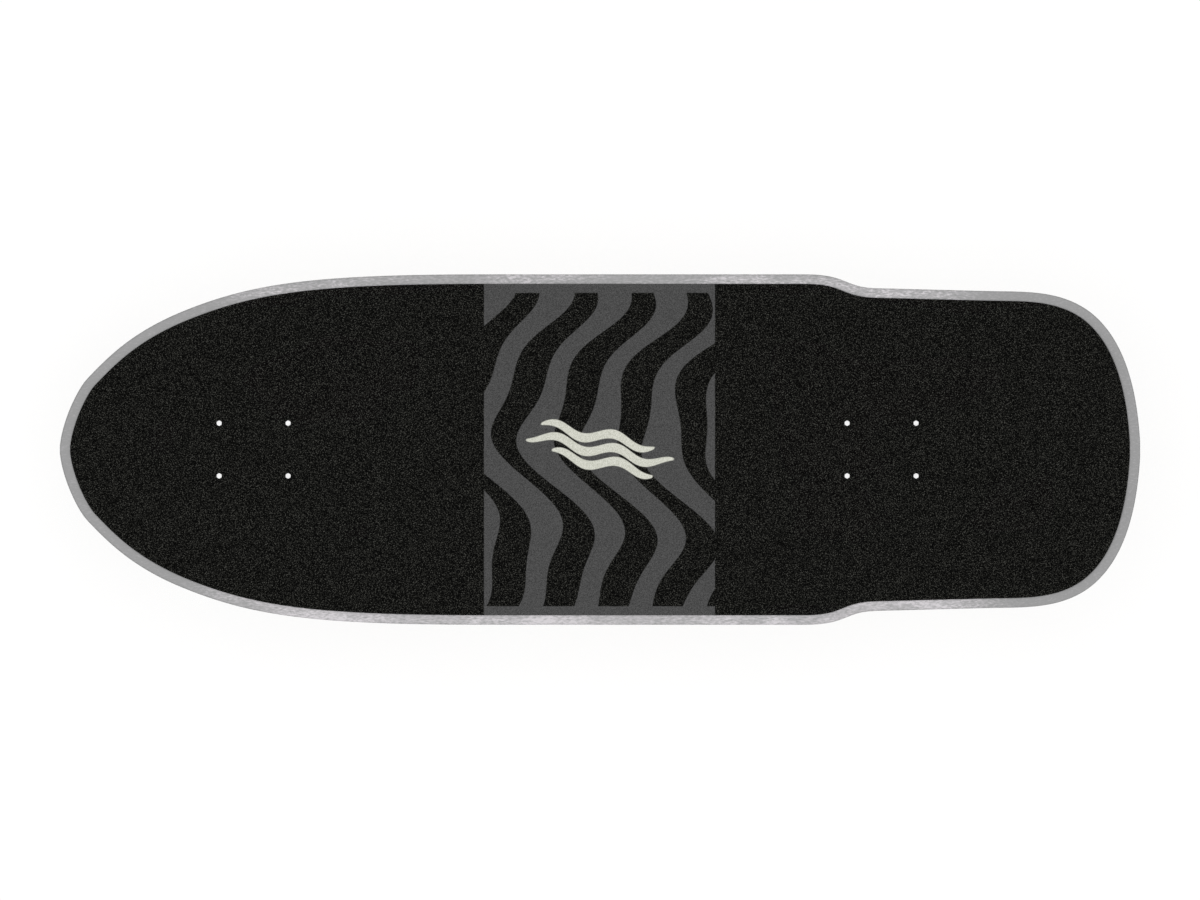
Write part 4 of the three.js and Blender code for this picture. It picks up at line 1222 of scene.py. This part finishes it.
for truck in trucks:
    pin = stack_piece(truck, "pin", [
        (0, kingpin_top), (kingpin_head_radius - 0.8 * MM, kingpin_top),
        (kingpin_head_radius, kingpin_top + 0.8 * MM), (kingpin_head_radius, kingpin_head_end),
        (kingpin_radius, kingpin_head_end),
        *thread_points(kingpin_radius, roadside_end, kingpin_tip - 0.6 * MM, kingpin_pitch),
        (kingpin_radius - 0.9 * MM, kingpin_tip), (0, kingpin_tip),
    ], thread=(roadside_end - 0.2 * MM, kingpin_tip, kingpin_pitch, 0.6 * MM))
    dress(pin, black_oxide, "black_steel", carriers[truck], f"{truck}_kingpin")
    cup_washer(truck, "boardside_dished_washer", boardside_cup_top, 1, boardside_cup_radius)
    bushing(truck, "boardside_urethane", [
        (narrow_bore, boardside_top), (boardside_radius - 1.2 * MM, boardside_top),
        (boardside_radius, boardside_top + 0.3 * boardside_length),
        (boardside_radius, boardside_top + 0.7 * boardside_length),
        (boardside_radius - 0.9 * MM, boardside_end), (wide_bore, boardside_end),
    ])
    bushing(truck, "roadside_urethane", [
        (wide_bore, roadside_start), (roadside_radius, roadside_start),
        (roadside_radius, roadside_start + 0.35 * roadside_length),
        (roadside_end_radius, roadside_end), (narrow_bore, roadside_end),
    ])
    cup_washer(truck, "roadside_dished_washer", roadside_end + turned_gap, -1, roadside_cup_radius)
    pin_nut, pin_collar = lock_nut(
        f"{truck}_pin_nut", kingpin_nut_radius, roadside_cup_end, kingpin_nut_end,
        ring_centre, kingpin_axis, kingpin_radius + 0.1 * MM,
    )
    cup = turned(f"{truck}_pivot_bush", [
        (0, cup_floor - cup_wall), (cup_inner + cup_wall, cup_floor - cup_wall),
        (cup_inner + cup_wall, cup_rim), (cup_inner, cup_rim), (cup_inner, cup_floor), (0, cup_floor),
    ], steering_foot, steering_axis, edge=0.6 * MM)
    for piece, material, slot, nodes in (
        (pin_nut, zinc, "steel", [f"{truck}_kingpin_nut"]), (pin_collar, nylon, "bushing", []),
        (cup, cup_urethane, "bushing", [f"{truck}_pivot_cup"]),
    ):
        dress(carried(piece, to_board(truck)), material, slot, carriers[truck], *nodes)

# Hangers
# Each hanger is one aluminium casting: the tapered bar round the axle, the ring round the
# kingpin, ribs from the ring out along the bar, and the nose that turns in the pivot cup.

hanger_half_length = 64 * MM
bar_radius = 10 * MM
bar_end_radius = 8.5 * MM
bar_taper = 16 * MM
web_half_width = 9 * MM
web_front = 7.5 * MM
web_back = 16 * MM
web_under = 8 * MM
wing_half_length = 52 * MM
wing_thickness = 9 * MM
wing_bend = (6 * MM, 2 * MM)
wing_steps = 5
axle_radius = 4 * MM


def both_ways(half, middle=0):
    """A profile from the middle to one end, with its mirror image before it."""
    return [(radius, 2 * middle - distance) for radius, distance in reversed(half)] + half


def wing_outline():
    """The ribs' outline across the board and along the steering axis: a sweep down from the ring."""
    low = -web_under + 2 * MM
    start = Vector((wing_half_length, low + wing_thickness))
    end = Vector((ring_radius, ring_reach - ring_thickness / 2))
    bend = Vector((ring_radius + wing_bend[0], low + wing_thickness + wing_bend[1]))
    shares = [step / wing_steps for step in range(wing_steps + 1)]
    sweep = [start * (1 - t) ** 2 + bend * 2 * t * (1 - t) + end * t ** 2 for t in shares]
    inner = ring_radius - ring_thickness / 2
    right = [(wing_half_length, low), *(tuple(point) for point in sweep), (inner, web_front)]
    return right + [(-x, y) for x, y in reversed(right)]


for truck in trucks:
    middle = in_truck(0, 0)
    shoulder = hanger_half_length - bar_taper
    bar = turned("bar", both_ways([
        (bar_radius, shoulder), (bar_end_radius, hanger_half_length), (0, hanger_half_length),
    ]), middle, sideways)
    eye = rod(ring_radius, -ring_thickness / 2, ring_thickness / 2, ring_centre, kingpin_axis, 96)
    web_top = -rake - ring_thickness / 2
    web = upright_slab("web", [
        at_profile(-web_back, web_top), at_profile(web_front - ring_thickness / 4, web_top),
        at_profile(web_front, -rake + ring_thickness / 2), at_profile(web_front, 0),
        at_profile(web_front - ring_thickness / 4, web_under), at_profile(-web_under, web_under),
        at_profile(-web_back, -web_under),
    ], web_half_width)
    nose = turned("nose", [
        (0, -pivot_reach - 0.6 * pivot_radius), (0.9 * pivot_radius, -pivot_reach),
        (0.9 * pivot_radius, -pivot_reach + socket_rim + 2 * MM), (web_half_width, -web_back),
        (web_half_width, 0), (0, 0),
    ], steering_foot, steering_axis)
    plane = in_truck(0, -rake + ring_thickness / 4)
    lower = [plane + Vector((0, y, 0)) + reach * steering_axis for y, reach in wing_outline()]
    wings = rings_solid("wings", [lower, [point + wing_thickness * kingpin_axis for point in lower]])
    hanger = melt(join(bar, eye, web, nose, wings), cast_rounds + 3)
    hanger = cut(hanger, turned("pivot_tip", [
        (0, -pivot_reach - pivot_radius), (0.55 * pivot_radius, -pivot_reach - 0.84 * pivot_radius),
        (pivot_radius, -pivot_reach), (pivot_radius, -pivot_reach + socket_rim + 3 * MM),
        (0, -pivot_reach + socket_rim + 3 * MM),
    ], steering_foot, steering_axis, edge=1.5 * MM), operation="UNION")
    bore_end = hanger_half_length + MM
    milled_to = -ring_thickness / 2 + 0.05 * MM
    hanger = cut(
        hanger, rod(ring_bore, -ring_thickness, ring_thickness, ring_centre, kingpin_axis),
        rod(axle_radius + bore_gap, -bore_end, bore_end, middle, sideways, 48),
        rod(2 * ring_radius, -3 * ring_thickness, milled_to, ring_centre, kingpin_axis),
    )
    hanger.name = f"cast_{truck}_hanger"
    dress(
        carried(hanger, to_board(truck)), aluminium, "cast_aluminium", f"{truck}_hanger_body",
        f"{truck}_hanger", degrees=cast_crease,
    )

# Axles
# An 8 mm steel axle pressed through each hanger, threaded at both ends, with a speed washer
# against the hanger and a spacer between the two bearings of each wheel.

hanger_end = hanger_half_length + bore_gap
flat_gap = 0.05 * MM
speed_washer = 1 * MM
bearing_width = 7 * MM
bearing_spacing = 10 * MM
spacer_radius = 5.8 * MM
inner_bearing_from = hanger_end + speed_washer + flat_gap
inner_bearing_to = inner_bearing_from + bearing_width
outer_bearing_from = inner_bearing_to + bearing_spacing + 2 * flat_gap
outer_bearing_to = outer_bearing_from + bearing_width
axle_nut_from = outer_bearing_to + flat_gap
axle_nut_height = 5.5 * MM
axle_nut_radius = 7.2 * MM
axle_pitch = 1.06 * MM
axle_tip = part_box("rear_axle")[1].y

half_axle = [
    (axle_radius, hanger_end), *stepped(
        hanger_end, spacer_radius, hanger_end + speed_washer, axle_radius, inner_bearing_to + flat_gap,
        spacer_radius, outer_bearing_from - flat_gap,
    ), (axle_radius, outer_bearing_from - flat_gap),
    *thread_points(axle_radius, axle_nut_from, axle_tip - 0.5 * MM, axle_pitch),
    (axle_radius - 0.7 * MM, axle_tip), (0, axle_tip),
]
axle_thread = (axle_nut_from - 0.1 * MM, axle_tip, axle_pitch, 0.55 * MM)
for truck in trucks:
    axle = turned(
        f"{truck}_axle_rod", both_ways(half_axle), in_truck(0, 0), sideways, 48, thread=axle_thread,
    )
    dress(carried(axle, to_board(truck)), zinc, "steel", f"{truck}_hanger_body", f"{truck}_axle")

# Wheels
# Four soft urethane wheels, 65 mm across, poured round a stiff moulded core. The running face
# is ground to a fine matt band, and the sides are lipped and dished towards the core.

wheel_radius = 32.5 * MM
wheel_width = 46 * MM
wheel_overlap = 3 * MM
wheel_inner = hanger_end - wheel_overlap
wheel_outer = wheel_inner + wheel_width
lip = 6 * MM
lip_foot = wheel_radius - lip - 2 * MM
dish = 4.5 * MM
core_radius = 18.5 * MM
core_rim_bore = core_radius - 1.6 * MM
bearing_radius = 11 * MM
seat_radius = bearing_radius + 0.25 * MM
hub_radius = seat_radius + 2 * MM
core_bore = 8 * MM
core_inset = 6 * MM
core_from = wheel_inner + core_inset
core_to = wheel_outer - core_inset
outer_seat_end = outer_bearing_to + speed_washer
rib_count = 12
rib_half = 0.8 * MM
rib_edge = 0.3 * MM

ring_tree, given = new_tree("copies round the axle", Int=["Count"], Float=["Height"])
spots = add(ring_tree, "GeometryNodePoints", {"Count": given["Count"]})
place_in_row = Number(ring_tree, add(ring_tree, "GeometryNodeInputIndex"))
around = add(ring_tree, "GeometryNodeInstanceOnPoints", {
    "Points": spots, "Instance": given["Geometry"],
    "Rotation": vector_of(ring_tree, 0, place_in_row / given["Count"] * (2 * math.pi), 0),
})
raised = add(ring_tree, "GeometryNodeTransform", {
    "Geometry": around, "Translation": vector_of(ring_tree, 0, 0, given["Height"]),
})
end_tree(ring_tree, raised, given)


def wheel_urethane():
    """Cream urethane: waxy at the sides, and ground matt with fine marks round the running face."""
    finish = Finish(
        "cream wheel urethane", specular_ior_level=0.35, subsurface_weight=0.1, subsurface_scale=3 * MM,
    )
    cloud = finish.noise(16 * MM, detail=4)
    ground = finish.noise(0.5 * MM, (12, 1, 12), detail=3)
    specks = finish.noise(0.6 * MM, detail=1).spread(0.68, 0.76)
    share = cloud.spread(0.4, 0.75) * 0.35 + ground * 0.25 + specks * 0.3
    colour = finish.blend(share, (0.84, 0.8, 0.68), (0.72, 0.66, 0.53))
    return finish.done(colour, ground.spread(0.3, 0.7, 0.42, 0.58), ground, 0.04 * MM, 0.35)


def axle_ends():
    """Each end of both axles: its truck, its side, and what carries the first end's frame there."""
    sides = {"front": ("right", "left"), "rear": ("left", "right")}
    turns = (Matrix.Identity(4), Matrix.Rotation(math.pi, 4, "Z"))
    return [
        (truck, side, to_board(truck) @ turn) for truck in trucks for side, turn in zip(sides[truck], turns)
    ]


tyre_finish = wheel_urethane()
core_finish = plastic("black moulded core", (0.018, 0.018, 0.019), 0.42)
for truck, side, matrix in axle_ends():
    tyre = turned(f"{truck}_{side}_tyre", both_ways([
        (wheel_radius, wheel_outer - 0.9 * lip), (wheel_radius - 0.45 * lip, wheel_outer - 0.1 * lip),
        (lip_foot, wheel_outer), (core_radius + 2 * MM, wheel_outer - dish),
        (core_radius - 1 * MM, wheel_outer - dish),
    ], (wheel_inner + wheel_outer) / 2), in_truck(0, 0), sideways, 128, 3.5 * MM, 5)
    core = turned(f"{truck}_{side}_core", stepped(
        inner_bearing_to + flat_gap, core_bore, outer_bearing_from - flat_gap, seat_radius, outer_seat_end,
        hub_radius, core_to - 6 * MM, core_rim_bore, core_to + 1 * MM, core_radius, core_from - 1 * MM,
        core_rim_bore, core_from + 5 * MM, hub_radius, inner_bearing_from - 0.4 * MM, seat_radius,
        inner_bearing_to + flat_gap,
    ), in_truck(0, 0), sideways, 96, 0.35 * MM, 2)
    rib_outline = corner_outline(
        (hub_radius + 0.2 * MM, core_to - 7 * MM), (core_radius - 1 * MM, core_to - 0.6 * MM), 0.9 * MM, 3,
    )
    rib = rings_solid("rib", [
        [Vector((x, y, z)) for x, y in grown_in(rib_outline, inset)] for z, inset in (
            (-rib_half, rib_edge), (-rib_half + rib_edge, 0), (rib_half - rib_edge, 0), (rib_half, rib_edge),
        )
    ])
    ribs = grow(
        f"{truck}_{side}_core_ribs", ring_tree, rib.data, count=rib_count, height=axle_height,
        material=core_finish,
    )
    drop(rib)
    body = f"{truck}_{side}_wheel_body"
    dress(carried(tyre, matrix), tyre_finish, "wheel", body, f"{truck}_{side}_wheel", degrees=50)
    dress(carried(core, matrix), core_finish, "wheel", body)
    dress(carried(ribs, matrix), core_finish, "wheel", body)

# Bearings
# Two 22 mm ball bearings sit in each wheel's core. Each has ground steel races and a pressed
# rubber shield on both sides that hides its balls.

bearing_steel = steel("ground bearing steel", (0.4, 0.41, 0.42), (0.55, 0.56, 0.57), 1.0, 0.24)
shield_rubber = rubber("bearing shield rubber", (0.022, 0.022, 0.024), 0.4)
inner_race_radius = 6.1 * MM
outer_race_radius = 9.3 * MM
race_bore = axle_radius + 0.05 * MM
race_edge = 0.4 * MM
sunk = 0.35 * MM


def bearing(name, start, matrix, body, node):
    """The two races as one piece, and the shields between them as another."""
    end = start + bearing_width
    at = in_truck(0, 0)
    outer_race, inner_race = [
        turned(f"{name}_races", stepped(start, outside, end, inside, start), at, sideways, 72, race_edge)
        for inside, outside in ((outer_race_radius, bearing_radius), (race_bore, inner_race_radius))
    ]
    dress(carried(join(outer_race, inner_race), matrix), bearing_steel, "bearing", body, node)
    middle_radius = (inner_race_radius + outer_race_radius) / 2
    shields = turned(f"{name}_races_shields", both_ways([
        (outer_race_radius - 0.05 * MM, end - sunk), (middle_radius, end - 0.6 * sunk),
        (inner_race_radius + 0.12 * MM, end - sunk),
    ], (start + end) / 2), at, sideways, 72, 0.25 * MM)
    dress(carried(shields, matrix), shield_rubber, "bearing", body)


for truck, side, matrix in axle_ends():
    for row, start in (("inner", inner_bearing_from), ("outer", outer_bearing_from)):
        name = f"{truck}_{side}_{row}"
        bearing(name, start, matrix, f"{truck}_{side}_wheel_body", f"{name}_bearing")

# Axle nuts
# A black lock nut with a nylon collar on each end of both axles, run up until the wheel
# spins freely without play.

for truck, side, matrix in axle_ends():
    axle_nut, axle_collar = lock_nut(
        f"{truck}_{side}_end_nut", axle_nut_radius, axle_nut_from, axle_nut_from + axle_nut_height,
        in_truck(0, 0), sideways, race_bore,
    )
    body = f"{truck}_hanger_body"
    dress(carried(axle_nut, matrix), black_oxide, "black_steel", body, f"{truck}_{side}_axle_nut")
    dress(carried(axle_collar, matrix), nylon, "bushing", body)

# Floor, light and camera
# A plain pale floor, which the camera sees as a thin veil over the white backdrop with a soft
# shadow on it, and which fades out farther off. A wide lamp hangs overhead between two strips,
# and the camera looks straight down.

floor_size = 8
fade_from = 0.9
fade_to = 2.4
photo_width = 1200
metres_per_pixel = 0.783 * MM
camera_height = 2.5
camera_offset = -0.45 * metres_per_pixel
sky_share = 0.45


def seen_directly(tree):
    """1 for rays from the camera, a mirror or glass, and 0 for light that is scattered."""
    rays = add(tree, "ShaderNodeLightPath").node.outputs
    names = ("Is Camera Ray", "Is Glossy Ray", "Is Transmission Ray")
    camera_ray, glossy_ray, clear_ray = [Number(tree, rays[name]) for name in names]
    return camera_ray.larger(glossy_ray).larger(clear_ray)


def floor_finish():
    finish = Finish("pale floor")
    tree = finish.tree
    tree.nodes.remove(finish.shader)
    distance = add(tree, "ShaderNodeVectorMath", {0: finish.place}, "Value", operation="LENGTH")
    faded = Number(tree, distance).spread(fade_from, fade_to)
    plain = add(tree, "ShaderNodeBsdfDiffuse", {"Color": (0.8, 0.8, 0.8, 1)})
    veil = add(tree, "ShaderNodeBsdfTransparent", {"Color": finish.blend(faded, (0.88,) * 3, (1, 1, 1))})
    shade = add(tree, "ShaderNodeBsdfDiffuse", {"Color": finish.blend(faded, (0.16,) * 3, (0, 0, 0))})
    white = add(tree, "ShaderNodeAddShader", {0: veil, 1: shade})
    above = add(tree, "ShaderNodeMixShader", {0: seen_directly(tree), 1: plain, 2: white})
    from_below = add(tree, "ShaderNodeNewGeometry", output="Backfacing")
    clear = add(tree, "ShaderNodeBsdfTransparent")
    one_sided = add(tree, "ShaderNodeMixShader", {0: from_below, 1: above, 2: clear})
    feed(tree, tree.nodes["Material Output"].inputs["Surface"], one_sided)
    return finish.material


floor = solid_piece("floor", [
    Vector((x * floor_size, y * floor_size, 0)) for x, y in ((-1, -1), (1, -1), (1, 1), (-1, 1))
], [(0, 1, 2, 3)])
floor.data.materials.append(floor_finish())

world = bpy.data.worlds.new("studio")
world.use_nodes = True
bpy.context.scene.world = world
sky = world.node_tree.nodes["Background"].inputs
sky_strength = seen_directly(world.node_tree).math("MULTIPLY_ADD", 1 - sky_share, sky_share)
feed(world.node_tree, sky["Color"], (1, 1, 1, 1))
feed(world.node_tree, sky["Strength"], sky_strength)

# Soft rectangular lamps that face the middle of the board and aren't seen themselves
for name, place, size, watts in (
    ("overhead_lamp", (0, 0, 3), (2.4, 2.4), 40), ("left_strip", (0, 1.5, 2.2), (1.8, 0.3), 5),
    ("right_strip", (0, -1.5, 2.2), (1.8, 0.3), 5),
):
    light = bpy.data.lights.new(name, "AREA")
    light.shape = "RECTANGLE"
    light.size, light.size_y = size
    light.energy = watts
    lamp = new_piece(name, light)
    lamp.location = place
    lamp.rotation_euler = (-Vector(place)).to_track_quat("-Z", "Y").to_euler()
    lamp.visible_camera = False

camera = new_piece("camera", bpy.data.cameras.new("camera"))
camera.data.type = "ORTHO"
camera.data.ortho_scale = photo_width * metres_per_pixel
camera.location = (0, camera_offset, camera_height)
bpy.context.scene.camera = camera
bpy.context.scene.view_settings.view_transform = "Standard"
